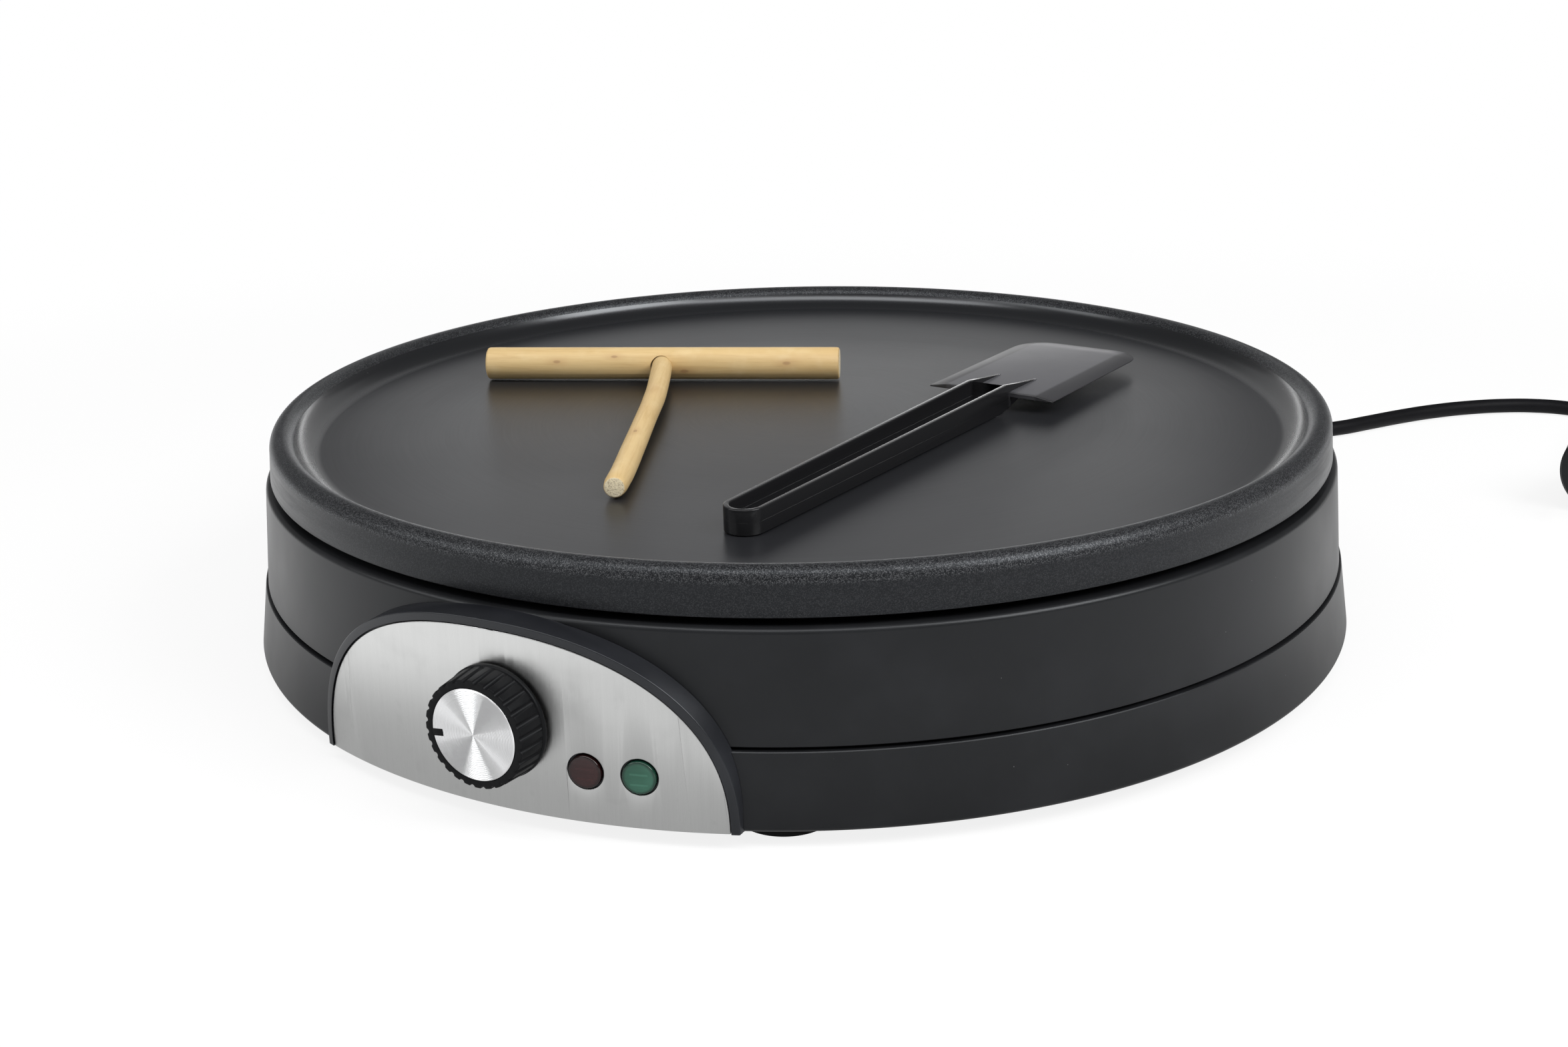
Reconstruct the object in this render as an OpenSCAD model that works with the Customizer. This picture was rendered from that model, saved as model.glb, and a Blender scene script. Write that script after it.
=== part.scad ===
// Electric crepe maker: a round cast plate on a two-part round housing, with a control panel,
// its heater and wiring inside, a batter spreader and a spatula lying on the plate.
// The origin is on the plate's axis, on the surface that the feet stand on.
// The control panel faces -Y, the cord leaves at +Y, and +Z is up.

/* [Feet] */
// Height of the rubber feet
foot_h = 5; // [3:0.5:8]
// Diameter of one rubber foot
foot_d = 30; // [18:1:34]

/* [Housing] */
// Radius of the lower housing at its bottom edge
base_r = 200; // [185:1:240]
// Height of the lower housing
base_h = 24; // [22:0.5:30]
// Open height of the groove between the two housings
parting_gap = 1; // [0.8:0.1:3]
// Height of the upper housing above that groove
upper_h = 35; // [32:0.5:45]
// Wall thickness of both housings
wall = 2.6; // [2:0.1:3.2]
// How far the lower housing's wall leans in from bottom to top
base_lean = 3.2; // [1:0.1:5]
// How far the upper housing's wall leans in from bottom to top
upper_lean = 2.6; // [1:0.1:5]
// How far the upper housing steps in at the groove
groove_step = 0.9; // [0.4:0.1:2]
// Radius of the rounded edges at the housing's top and bottom
edge_round = 1.8; // [1:0.1:2.2]

/* [Control panel] */
// Half of the steel panel's width, along its curve
panel_half_w = 73.2; // [62:0.2:88]
// Height of the bezel round the steel panel
bezel_h = 59.8; // [54:0.2:60]
// Width of the bezel's face round the steel panel
bezel_w = 3; // [2:0.1:5]
// How far the bezel's face stands out from the lower housing's bottom edge
bezel_out = 2; // [1.6:0.1:4]
// Thickness of the steel panel
panel_t = 0.85; // [0.6:0.05:1]
// How far the bezel laps onto the housings round its window
bezel_lap = 9; // [7:0.5:11]

/* [Knob and lamps] */
// Sideways place of the knob's axis
knob_x = 2.8; // [-6:0.2:6]
// Height of the knob's axis above the lower housing's bottom edge
knob_up = 29; // [26:0.5:31]
// Diameter of the knob's base ring
knob_ring_d = 35.5; // [30:0.5:40]
// Diameter of the knob's fluted grip
knob_grip_d = 33.6; // [28.5:0.1:34]
// Depth of the knob from its ring to its face
knob_depth = 11.6; // [10.8:0.2:16]
// Diameter of the knob's metal cap
knob_cap_d = 28.4; // [24:0.2:28.6]
// Diameter of the thermostat's shaft
shaft_d = 6; // [5:0.1:6.4]
// Bearing of the red lamp round the housing, from the panel's middle
red_lamp_at = 8.7; // [8.3:0.1:9]
// Bearing of the green lamp round the housing
green_lamp_at = 13.4; // [13.2:0.1:14.5]
// Height of the lamps above the lower housing's bottom edge
lamp_up = 16.7; // [14:0.1:18]
// Diameter of a lamp's lens
lens_d = 10.2; // [8:0.1:10.4]

/* [Cooking plate] */
// Outer radius of the plate at the bottom of its skirt
plate_r = 191.4; // [175:0.2:205]
// Gap between the housing's top and the plate
plate_gap = 4; // [3:0.1:6]
// Thickness of the plate's flat middle
plate_t = 4.7; // [4.5:0.1:7]
// Depth of the flat middle below the rim's crest
well_depth = 8.4; // [6:0.1:10]
// Width of the rim, from its outer face to the flat middle
rim_w = 18.2; // [15:0.1:24]
// Radius of the rim's rolled crest
crest_round = 4.5; // [3.5:0.1:5]
// How far the skirt hangs below the plate's underside
skirt_drop = 1.4; // [0:0.1:2]

/* [Heater] */
// Radius of the heating element's ring
element_r = 118; // [105:1:122]
// Diameter of the heating element
element_d = 6.6; // [6:0.1:8]
// Radius of the heat shield's dish
shield_r = 147; // [140:0.5:152]
// Depth of the heat shield's dish below its flange
shield_depth = 9; // [8:0.2:9.4]
// Thickness of the heat shield's sheet
shield_t = 0.6; // [0.5:0.1:0.8]

/* [Tools on the plate] */
// Diameter of the batter spreader's crossbar
bar_d = 12.6; // [10:0.1:16]
// Length of the crossbar
bar_len = 140.4; // [110:0.2:170]
// Diameter of the spreader's handle
stick_d = 8; // [7:0.1:9]
// Length of the spreader's handle from the crossbar's axis
stick_len = 154.5; // [130:0.5:160]
// Length of the spatula's handle, up to its blade
spatula_handle_len = 160; // [130:1:166]
// Width of the spatula's blade
blade_w = 51; // [42:0.2:56]
// Length of the spatula's blade
blade_len = 82; // [60:1:84]
// Thickness of the spatula's blade
blade_t = 1.8; // [1.4:0.1:2.4]

/* [Cord] */
// Diameter of the mains cord
cord_d = 7; // [5.8:0.1:7.4]
// Diameter of the plug's face
plug_d = 37.4; // [34:0.2:40]

/* [Hidden] */
$fn = 96;

// Clearances
seat_gap = 0.3;    // between pieces of different bodies, and round curved seats
snug = 0.15;       // between a piece and the hole that it sits in
run_gap = 0.08;    // between the turning shaft and its bush
lift = 0.01;       // by which a cut runs past the face that it opens
cut = 40;          // a cut that only has to be long enough

// Levels
base_z = foot_h;
floor_top = base_z + wall;
parting_z = base_z + base_h;
upper_z = parting_z + parting_gap;
deck_top = upper_z + upper_h;
deck_bottom = deck_top - wall;
plate_z = deck_top + plate_gap;
flat_z = plate_z + plate_t;
crest_z = flat_z + well_depth;
knob_z = base_z + knob_up;
lamp_z = base_z + lamp_up;
shield_floor_z = deck_top - shield_depth;
element_z = plate_z - seat_gap - 0.05 - element_d / 2;

// Housing radii
base_top_r = base_r - base_lean;
upper_bottom_r = base_top_r - groove_step;
upper_top_r = upper_bottom_r - upper_lean;
deck_hole_r = shield_r + shield_t + 1.4;
pillar_r = shield_r + 7;
screw_boss_r = base_r - 18;
foot_ring_r = base_r - foot_d / 2 - 7;
screw_bearings = [-30, 30, 72, 108, 150, 210];
pillar_bearings = [for (i = [0 : 5]) 60 * i];
foot_bearings = [for (i = [0 : 5]) 60 * i - 5];
boss_split_z = parting_z + 6;
boss_d = 12;            // the lower housing's screw bosses
upper_boss_d = 10;
vent_in = 88;           // where a cooling slot in the floor starts
vent_len = 30;
vent_w = 4;
foot_stud_d = 6;
foot_button_d = 8.4;

// Screws
housing_screw_d = 4;
housing_screw_head_d = 7.6;
pillar_screw_d = 4;
strap_screw_d = 3;
bezel_screw_d = 2.4;
small_screw_d = 2.9;
screw_play = 0.4;       // a clearance hole is this much wider than its screw
tap_play = 0.2;         // and a threaded hole this much

// Control panel
bezel_r = base_r + bezel_out;
panel_front_r = bezel_r - 0.4;
panel_back_r = panel_front_r - panel_t;
recess_r = panel_back_r - snug;
web_r = recess_r - 3;
panel_h = bezel_h - bezel_w;
panel_slit = 0.45;
arch_power = 2.25;
bezel_half_w = panel_half_w + bezel_w;
window_half_w = bezel_half_w - bezel_lap;
window_h = bezel_h - bezel_lap;
bezel_screw_at = 0.52 * bezel_half_w;
bezel_screw_up = arch_up(bezel_half_w, bezel_h, bezel_screw_at) - 0.55 * bezel_lap;

// Thermostat and knob, along the knob's axis and measured from the origin
thermo_w = 34;
thermo_h = 26;
thermo_depth = 24;
thermo_front = sqrt(pow(web_r, 2) - pow(abs(knob_x) + thermo_w / 2, 2)) - seat_gap;
bush_d = 9.6;
bush_front = panel_front_r + 4.4;
nut_af = 14;
nut_back = panel_front_r + 0.1;
nut_t = 2.6;
knob_back = panel_front_r + 0.7;
knob_front = knob_back + knob_depth;
knob_ring_t = 3;
knob_inner_d = 26;
knob_web = 2.8;
knob_flutes = 28;
hub_d = 11.4;
hub_back = bush_front + 0.5;
pointer_turn = 6;
pointer_w = 2;
pointer_in = 3.5;
cap_t = 0.8;
cap_proud = 0.2;
shaft_back = thermo_front - thermo_depth + 6;
shaft_front = knob_front - knob_web - 0.2;
shaft_flat = shaft_d / 2 - 1;

// Cord
relief_end = knob_front + cap_proud;
cord_z = base_z + 13;
entry_start = base_r - 36;

// ---------------------------------------------------------------- shared shapes and functions

// Points on an arc about (cx, cy), from angle a0 to a1
function arc(cx, cy, r, a0, a1, n) =
    [for (i = [0 : n]) let (a = a0 + (a1 - a0) * i / n) [cx + r * cos(a), cy + r * sin(a)]];

// Outline of the panel's arch: width is measured along a wall of radius r, height from the bottom edge
function arch(half_w, h, r, n = 40) =
    [for (i = [0 : n])
        let (t = 180 * i / n,
             along = half_w * sign(cos(t)) * pow(abs(cos(t)), 2 / arch_power),
             up = h * pow(abs(sin(t)), 2 / arch_power))
        [r * sin(along / r * 180 / PI), up]];

// Height of the arch's outline at a distance along the wall from its middle
function arch_up(half_w, h, along) = h * pow(1 - pow(along / half_w, arch_power), 1 / arch_power);

function unit(v) = v / norm(v);

// A point of a smooth curve through four points, a share t of the way from b to c
function between(a, b, c, d, t) =
    0.5 * (2 * b + (c - a) * t + (2 * a - 5 * b + 4 * c - d) * t * t + (3 * b - a - 3 * c + d) * t * t * t);

// A smooth curve through all the points, with n steps for each stretch
function smooth(p, n) =
    let (last = len(p) - 1)
    concat([for (i = [0 : last - 1], k = [0 : n - 1])
        between(p[max(i - 1, 0)], p[i], p[i + 1], p[min(i + 2, last)], k / n)], [p[last]]);

// Directions along a line of points
function headings(p) =
    let (last = len(p) - 1)
    [for (i = [0 : last]) unit(p[min(i + 1, last)] - p[max(i - 1, 0)])];

// A side direction carried along the line without twisting
function carried(t, first) =
    [for (i = 0, u = unit(first - (first * t[0]) * t[0]); i < len(t);
          i = i + 1, u = i < len(t) ? unit(u - (u * t[i]) * t[i]) : u) u];

// A round tube of radius r swept along a line of points
module tube(p, r, sides = 8, first = [1, 0.02, 0.01]) {
    t = headings(p);
    u = carried(t, first);
    n = len(p);
    rings = [for (i = [0 : n - 1], k = [0 : sides - 1])
        let (a = 360 * (k + 0.5) / sides)
        p[i] + r * cos(a) * u[i] + r * sin(a) * cross(t[i], u[i])];
    walls = [for (i = [0 : n - 2], k = [0 : sides - 1])
        [i * sides + k, (i + 1) * sides + k, (i + 1) * sides + (k + 1) % sides, i * sides + (k + 1) % sides]];
    ends = [[for (k = [0 : sides - 1]) k], [for (k = [sides - 1 : -1 : 0]) (n - 1) * sides + k]];
    polyhedron(rings, concat(walls, ends), convexity = 10);
}

// Children placed at each bearing, at a distance from the axis
module around(bearings, r) {
    for (a = bearings) rotate([0, 0, a]) translate([r, 0, 0]) children();
}

// Children drawn along +Z are turned to point out of the panel, at the knob's axis
module on_knob_axis() {
    translate([knob_x, 0, knob_z]) rotate([90, 0, 0]) children();
}

// Children drawn along +Z are turned to point out of the panel, at a lamp's bearing
module on_lamp_axis(bearing) {
    rotate([0, 0, bearing]) translate([0, 0, lamp_z]) rotate([90, 0, 0]) children();
}

// Children drawn along +Z are turned to point out of the back
module on_cord_axis() {
    translate([0, 0, cord_z]) rotate([-90, 0, 0]) children();
}

// A tube along Z from z0 to z1
module ring(r_out, r_in, z0, z1) {
    difference() {
        translate([0, 0, z0]) cylinder(r = r_out, h = z1 - z0, $fn = r_out > 60 ? 240 : 64);
        translate([0, 0, z0 - 1]) cylinder(r = r_in, h = z1 - z0 + 2, $fn = r_out > 60 ? 240 : 64);
    }
}

// A block with the panel's arched outline, through the front wall
module arch_block(half_w, h, r, up = 0) {
    intersection() {
        translate([0, -base_r + 50, base_z]) rotate([90, 0, 0]) linear_extrude(80) polygon(arch(half_w, h, r));
        translate([-base_r, -base_r - 40, base_z + up]) cube([2 * base_r, base_r, 2 * h]);
    }
}

// A pan-head screw along +Z: its head's underside is at z = 0 and its shank goes up
module screw(d, len, head_d, head_h) {
    translate([0, 0, -lift]) cylinder(d = d, h = len + lift, $fn = 32);
    translate([0, 0, -head_h]) difference() {
        cylinder(d = head_d, h = head_h, $fn = 32);
        for (a = [0, 90])
            rotate([0, 0, a]) translate([-head_d / 3, -0.4, -1]) cube([head_d / 1.5, 0.8, 1 + head_h / 2]);
    }
}

// ---------------------------------------------------------------- housings

// Profile of the lower housing's outside, grown by more
module base_outside(more = 0) {
    polygon(concat(
        [[0, base_z - more]],
        arc(base_r - edge_round, base_z + edge_round - more, edge_round + more, -90, 0, 5),
        [[base_top_r + more, parting_z], [0, parting_z]]));
}

// Profile of the upper housing's outside, grown by more
module upper_outside(more = 0) {
    polygon(concat(
        [[0, upper_z], [upper_bottom_r + more, upper_z]],
        arc(upper_top_r - edge_round, deck_top - edge_round, edge_round + more, 0, 90, 5),
        [[0, deck_top + more]]));
}

module window_cut() {
    arch_block(window_half_w, window_h, base_r, wall + 0.4);
}

module lower_housing() color("#26282a") {
    difference() {
        union() {
            difference() {
                rotate_extrude($fn = 200) base_outside();
                rotate_extrude($fn = 200) polygon([
                    [0, floor_top],
                    [base_r - wall - 0.4, floor_top],
                    [base_top_r - wall, parting_z + 1],
                    [0, parting_z + 1]]);
            }
            around(screw_bearings, screw_boss_r) translate([0, 0, base_z])
                cylinder(d = boss_d, h = boss_split_z - base_z);
            // pedestals for the cord clamp and the terminal block
            translate([-17, clamp_y - 6, floor_top - lift]) cube([34, 12, clamp_base_z - floor_top + lift]);
            translate([-21, block_y - 10, floor_top - lift]) cube([42, 20, 3 + lift]);
        }
        around(screw_bearings, screw_boss_r) {
            translate([0, 0, base_z - 1])
                cylinder(d = housing_screw_head_d + 0.8, h = housing_head_z - base_z + 1);
            translate([0, 0, base_z]) cylinder(d = housing_screw_d + 2 * snug, h = cut);
        }
        around(foot_bearings, foot_ring_r) translate([0, 0, base_z - 1])
            cylinder(d = foot_stud_d + 2 * snug, h = wall + 2);
        window_cut();
        on_cord_axis() cylinder(d = relief_neck_d + 2 * snug, h = base_r + 20);
        for (x = [-1, 1])
            translate([x * clamp_screw_x, clamp_y, floor_top + 1])
                cylinder(d = small_screw_d + 2 * snug, h = cut, $fn = 32);
        for (x = [-1, 1])
            translate([x * block_screw_x, block_y, floor_top + 0.4])
                cylinder(d = small_screw_d + 2 * snug, h = cut, $fn = 32);
        // cooling slots in the floor
        for (a = [0 : 15 : 345])
            rotate([0, 0, a]) translate([vent_in, -vent_w / 2, base_z - 1]) cube([vent_len, vent_w, wall + 2]);
    }
}

module upper_housing() color("#2b2d30") {
    difference() {
        union() {
            difference() {
                rotate_extrude($fn = 200) upper_outside();
                rotate_extrude($fn = 200) polygon([
                    [0, upper_z - 1],
                    [upper_bottom_r - wall, upper_z - 1],
                    [upper_top_r - wall, deck_bottom],
                    [0, deck_bottom]]);
            }
            // the tongue behind the groove, inside the lower housing's wall
            ring(base_top_r - wall - seat_gap, base_top_r - wall - seat_gap - 2, parting_z - 2, upper_z + 4);
            around(screw_bearings, screw_boss_r)
                translate([0, 0, boss_split_z + 0.2])
                    cylinder(d = upper_boss_d, h = deck_top - boss_split_z - 1.2);
        }
        cylinder(r = deck_hole_r, h = 2 * deck_top);
        around(screw_bearings, screw_boss_r)
            translate([0, 0, boss_split_z - 1]) cylinder(d = housing_screw_d + 2 * snug, h = 18);
        around(pillar_bearings, pillar_r) translate([0, 0, deck_bottom - 1])
            cylinder(d = pillar_screw_d + screw_play, h = wall + 2);
        window_cut();
        for (x = [-1, 1]) bezel_screw_place(x) translate([0, 0, -2])
            cylinder(d = bezel_screw_d + 1, h = 2 * cut, center = true);
    }
}

housing_head_z = base_z + 6;

module housing_screws() color("#8d9093") {
    around(screw_bearings, screw_boss_r)
        translate([0, 0, housing_head_z])
            screw(housing_screw_d, boss_split_z + 14 - housing_head_z, housing_screw_head_d, 3);
}

module rubber_feet() color("#191a1b") {
    around(foot_bearings, foot_ring_r) {
        difference() {
            cylinder(d = foot_d, h = foot_h);
            ring(foot_d / 2 - 4, foot_d / 2 - 7, -1, 1);
        }
        translate([0, 0, foot_h - lift]) cylinder(d = foot_stud_d, h = wall + 0.6);
        translate([0, 0, floor_top + 0.4]) cylinder(d = foot_button_d, h = 2);
    }
}

// ---------------------------------------------------------------- control panel

// Both housings' outside as one solid, grown by the seat's clearance
module housing_block() {
    rotate_extrude($fn = 200) union() {
        base_outside(seat_gap);
        upper_outside(seat_gap);
        translate([0, parting_z - 1]) square([upper_bottom_r + seat_gap, parting_gap + 2]);
    }
}

module panel_bezel() color("#2e3033") {
    difference() {
        union() {
            // the frame that laps onto the housings
            difference() {
                intersection() {
                    arch_block(bezel_half_w, bezel_h, bezel_r, 0.2);
                    ring(bezel_r, upper_top_r - edge_round, base_z - 1, deck_top + 1);
                }
                housing_block();
                intersection() {
                    arch_block(window_half_w - seat_gap, window_h - seat_gap, base_r, wall + 0.9);
                    translate([0, 0, base_z]) cylinder(r = web_r, h = deck_top, $fn = 200);
                }
            }
            // the web that closes the window
            intersection() {
                arch_block(window_half_w - seat_gap, window_h - seat_gap, base_r, wall + 0.9);
                ring(recess_r, web_r, base_z, deck_top);
            }
        }
        // the recess that holds the steel panel
        difference() {
            arch_block(panel_half_w + panel_slit, panel_h + panel_slit, bezel_r, -1);
            translate([0, 0, base_z - 5]) cylinder(r = recess_r, h = 100, $fn = 200);
        }
        on_knob_axis() cylinder(d = bush_d + 2 * snug, h = 2 * base_r);
        for (a = [red_lamp_at, green_lamp_at]) on_lamp_axis(a) cylinder(d = lens_d + 2 * snug, h = 2 * base_r);
        for (x = [-1, 1]) bezel_screw_place(x) translate([0, 0, -2])
            cylinder(d = bezel_screw_d + tap_play, h = bezel_screw_bite + 1.5);
    }
}

// A place on the inside of the upper housing's wall, pointing outwards, for a screw into the bezel
bezel_screw_len = 9;
bezel_screw_bite = bezel_screw_len - wall;
module bezel_screw_place(side) {
    wall_r = upper_top_r + upper_lean * (deck_top - base_z - bezel_screw_up) / upper_h;
    rotate([0, 0, side * bezel_screw_at / bezel_r * 180 / PI])
        translate([0, -wall_r, base_z + bezel_screw_up])
            rotate([90, 0, 0]) children();
}

module bezel_screws() color("#8d9093") {
    for (x = [-1, 1]) bezel_screw_place(x) translate([0, 0, -wall - 2 * seat_gap])
        screw(bezel_screw_d, bezel_screw_len - 1, 5.4, 2);
}

module control_panel() color("#b9bbba") {
    difference() {
        intersection() {
            arch_block(panel_half_w, panel_h, bezel_r, 0.3);
            ring(panel_front_r, panel_back_r, base_z - 1, deck_top);
        }
        on_knob_axis() cylinder(d = bush_d + 4 * snug, h = 2 * base_r);
        for (a = [red_lamp_at, green_lamp_at]) on_lamp_axis(a) cylinder(d = lens_d + 5 * snug, h = 2 * base_r);
    }
}

// ---------------------------------------------------------------- cooking plate

flat_r = plate_r - rim_w;
crest_r = plate_r - 0.7 - crest_round;
skirt_z = plate_z - skirt_drop;
// the rim's inside rises in a hollow curve that runs into the rolled crest at this slope
rim_slope = 2 * atan(well_depth / (crest_r - flat_r));
rim_curve = (crest_r - flat_r) / sin(rim_slope) - crest_round;

module cooking_plate() color("#4a4b4c") {
    difference() {
        rotate_extrude($fn = 240) difference() {
            polygon(concat(
                [[0, plate_z], [flat_r + 7, plate_z], [flat_r + 7, skirt_z],
                    [plate_r - 0.4, skirt_z], [plate_r, skirt_z + 0.4]],
                arc(crest_r, crest_z - crest_round, crest_round, -5, 90 + rim_slope, 12),
                [for (i = [7 : -1 : 0])
                    let (a = rim_slope * i / 8)
                    [flat_r + rim_curve * sin(a), flat_z + rim_curve * (1 - cos(a))]],
                [[0, flat_z]]));
            // the hollow under the rim
            polygon([
                [flat_r + 5, skirt_z - 1],
                [flat_r + 5, plate_z + plate_t - 2.6],
                [crest_r - 1.8, crest_z - 4],
                [crest_r + 0.4, crest_z - 4],
                [plate_r - 3, skirt_z - 1]]);
        }
        around(pillar_bearings, pillar_r) translate([0, 0, plate_z - 1])
            cylinder(d = pillar_screw_d + tap_play, h = 4.4);
        around(clamp_bearings, element_r + clamp_foot) translate([0, 0, plate_z - 1])
            cylinder(d = strap_screw_d + tap_play, h = 4);
        translate([bulb_clip_x, bulb_y + bulb_screw_out, plate_z - 1])
            cylinder(d = strap_screw_d + tap_play, h = 4);
        translate([fuse_x, fuse_y + fuse_screw_out, plate_z - 1]) cylinder(d = strap_screw_d + tap_play, h = 4);
    }
}

module plate_pillars() color("#d8d4c8") {
    around(pillar_bearings, pillar_r)
        ring(6, (pillar_screw_d + screw_play) / 2, deck_top + shield_t, plate_z);
}

module plate_screws() color("#8d9093") {
    around(pillar_bearings, pillar_r)
        translate([0, 0, deck_bottom]) screw(pillar_screw_d, plate_z + 3 - deck_bottom, 8, 2.8);
}

// ---------------------------------------------------------------- heater

element_open = 30;   // bearing left open at the front for the element's ends
element_bend = 7;
element_leg_z = 46;
clamp_bearings = [-50, 10, 60, 120, 170, 230];
clamp_foot = 9;
clamp_t = 1.1;

module element_end() {
    translate([element_r, 0, element_z - element_bend]) rotate([90, 0, 90])
        rotate_extrude(angle = 90, $fn = 64) translate([element_bend, 0]) circle(d = element_d, $fn = 32);
    translate([element_r, element_bend, element_leg_z])
        cylinder(d = element_d, h = element_z - element_bend - element_leg_z, $fn = 32);
}

module heating_element() color("#6f6a64") {
    rotate([0, 0, -90 + element_open / 2])
        rotate_extrude(angle = 360 - element_open, $fn = 200) translate([element_r, element_z])
            circle(d = element_d, $fn = 32);
    // collars over the joints of the ring and its bent ends
    for (side = [-1, 1]) rotate([0, 0, -90 + side * element_open / 2])
        translate([element_r, 0, element_z]) rotate([90, 0, 0])
            cylinder(d = element_d + 0.6, h = 5, center = true, $fn = 32);
    rotate([0, 0, -90 - element_open / 2]) element_end();
    rotate([0, 0, -90 + element_open / 2]) mirror([0, 1, 0]) element_end();
}

// Children placed at the foot of each of the element's two legs
module at_legs() {
    rotate([0, 0, -90 - element_open / 2]) translate([element_r, element_bend, 0]) children();
    rotate([0, 0, -90 + element_open / 2]) translate([element_r, -element_bend, 0]) children();
}

// A strap with a round hump over something of diameter d that hangs under the plate, w long
module strap(d, w, reach) {
    down = snug + d / 2;
    translate([0, w / 2, plate_z]) rotate([90, 0, 0]) linear_extrude(w) difference() {
        union() {
            translate([-reach, -clamp_t]) square([2 * reach, clamp_t]);
            translate([-d / 2 - seat_gap - clamp_t, -down]) square([d + 2 * (seat_gap + clamp_t), down]);
            translate([0, -down]) circle(r = d / 2 + seat_gap + clamp_t, $fn = 64);
        }
        translate([0, -down]) circle(r = d / 2 + seat_gap, $fn = 64);
        translate([-d / 2 - seat_gap, -down]) square([d + 2 * seat_gap, down + d]);
    }
}

module strap_with_hole(d, w, reach, hole_at) {
    difference() {
        strap(d, w, reach);
        translate([hole_at, 0, plate_z - 4]) cylinder(d = strap_screw_d + screw_play, h = 8, $fn = 32);
    }
}

module element_clamps() color("#9a9c9d") {
    around(clamp_bearings, element_r) strap_with_hole(element_d, 10, clamp_foot + 4, clamp_foot);
}

module clamp_screws() color("#8d9093") {
    around(clamp_bearings, element_r + clamp_foot)
        translate([0, 0, plate_z - clamp_t]) screw(strap_screw_d, clamp_t + 2.6, 5.6, 1.8);
}

module element_insulators() color("#e9e4d8") {
    at_legs() {
        ring(7, element_d / 2 + snug, shield_floor_z + shield_t, shield_floor_z + shield_t + 1.5);
        ring(5, element_d / 2 + snug, shield_floor_z - 3, shield_floor_z + shield_t + lift);
    }
}

module element_terminals() color("#b8a878") {
    at_legs() {
        translate([0, 0, element_leg_z - 1.5]) cylinder(d = 6, h = 1.5, $fn = 32);
        translate([-0.4, -3.15, element_leg_z - 9]) cube([0.8, 6.3, 7.5 + lift]);
    }
}

module heat_shield() color("#a7a9aa") {
    difference() {
        rotate_extrude($fn = 200) polygon([
            [0, shield_floor_z],
            [shield_r - 3, shield_floor_z],
            [shield_r + shield_t, shield_floor_z + 3],
            [shield_r + shield_t, deck_top],
            [pillar_r + 8, deck_top],
            [pillar_r + 8, deck_top + shield_t],
            [shield_r, deck_top + shield_t],
            [shield_r, shield_floor_z + 3.2],
            [shield_r - 3.2, shield_floor_z + shield_t],
            [0, shield_floor_z + shield_t]]);
        around(pillar_bearings, pillar_r) translate([0, 0, deck_top - 1])
            cylinder(d = pillar_screw_d + screw_play, h = 3);
        at_legs() translate([0, 0, shield_floor_z - 1]) cylinder(d = 10 + 2 * snug, h = 3);
        translate([capillary_x, capillary_y, shield_floor_z - 1]) cylinder(d = 5, h = 3);
        for (x = [-1, 1]) translate([fuse_x + x * fuse_lead_x, fuse_y, shield_floor_z - 1])
            cylinder(d = 6, h = 3);
        translate([earth_x, earth_y, shield_floor_z - 1]) cylinder(d = 4.2, h = 3);
    }
}

// Thermostat's sensor, under the plate
bulb_d = 6;
bulb_len = 56;
bulb_x = 24;
bulb_y = -60;
bulb_clip_x = bulb_x + 30;
bulb_screw_out = 9;
capillary_x = 12;
capillary_y = -60;

module sensor_bulb() color("#b4764c") {
    translate([bulb_x, bulb_y, plate_z - snug - bulb_d / 2]) rotate([0, 90, 0])
        cylinder(d = bulb_d, h = bulb_len);
}

module bulb_clip() color("#9a9c9d") {
    translate([bulb_clip_x, bulb_y, 0]) rotate([0, 0, 90])
        strap_with_hole(bulb_d, 16, bulb_screw_out + 4, bulb_screw_out);
}

module bulb_clip_screw() color("#8d9093") {
    translate([bulb_clip_x, bulb_y + bulb_screw_out, plate_z - clamp_t])
        screw(strap_screw_d, clamp_t + 2.6, 5.6, 1.8);
}

capillary_end = [bulb_x - 0.1, bulb_y, plate_z - snug - bulb_d / 2];
capillary_start = [knob_x, -thermo_front + thermo_depth + 0.1, knob_z + 7];
capillary_route = [
    capillary_start,
    capillary_start + [0, 2, 0],
    capillary_start + [0, 4, 0],
    capillary_start + [0, 12, 0],
    [6, -140, 42],
    [10, -118, 43],
    [12, -92, 44],
    [capillary_x, capillary_y - 5, 48],
    [capillary_x, capillary_y, shield_floor_z],
    [capillary_x + 2.4, capillary_y, capillary_end[2] - 2.6],
    capillary_end - [4, 0, 0],
    capillary_end - [2, 0, 0],
    capillary_end];

module capillary_tube() color("#b4764c") {
    tube(smooth(capillary_route, 4), 0.8, 6);
}

// Thermal fuse, under the plate
fuse_d = 5;
fuse_len = 18;
fuse_x = -60;
fuse_y = -44;
fuse_screw_out = 9;
fuse_lead_x = fuse_len / 2 + 7;

module thermal_fuse() color("#c9ccc4") {
    translate([fuse_x - fuse_len / 2, fuse_y, plate_z - snug - fuse_d / 2]) rotate([0, 90, 0])
        cylinder(d = fuse_d, h = fuse_len);
}

module fuse_clip() color("#9a9c9d") {
    translate([fuse_x, fuse_y, 0]) rotate([0, 0, 90])
        strap_with_hole(fuse_d, 8, fuse_screw_out + 4, fuse_screw_out);
}

module fuse_clip_screw() color("#8d9093") {
    translate([fuse_x, fuse_y + fuse_screw_out, plate_z - clamp_t])
        screw(strap_screw_d, clamp_t + 2.6, 5.6, 1.8);
}

// ---------------------------------------------------------------- thermostat and knob

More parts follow.
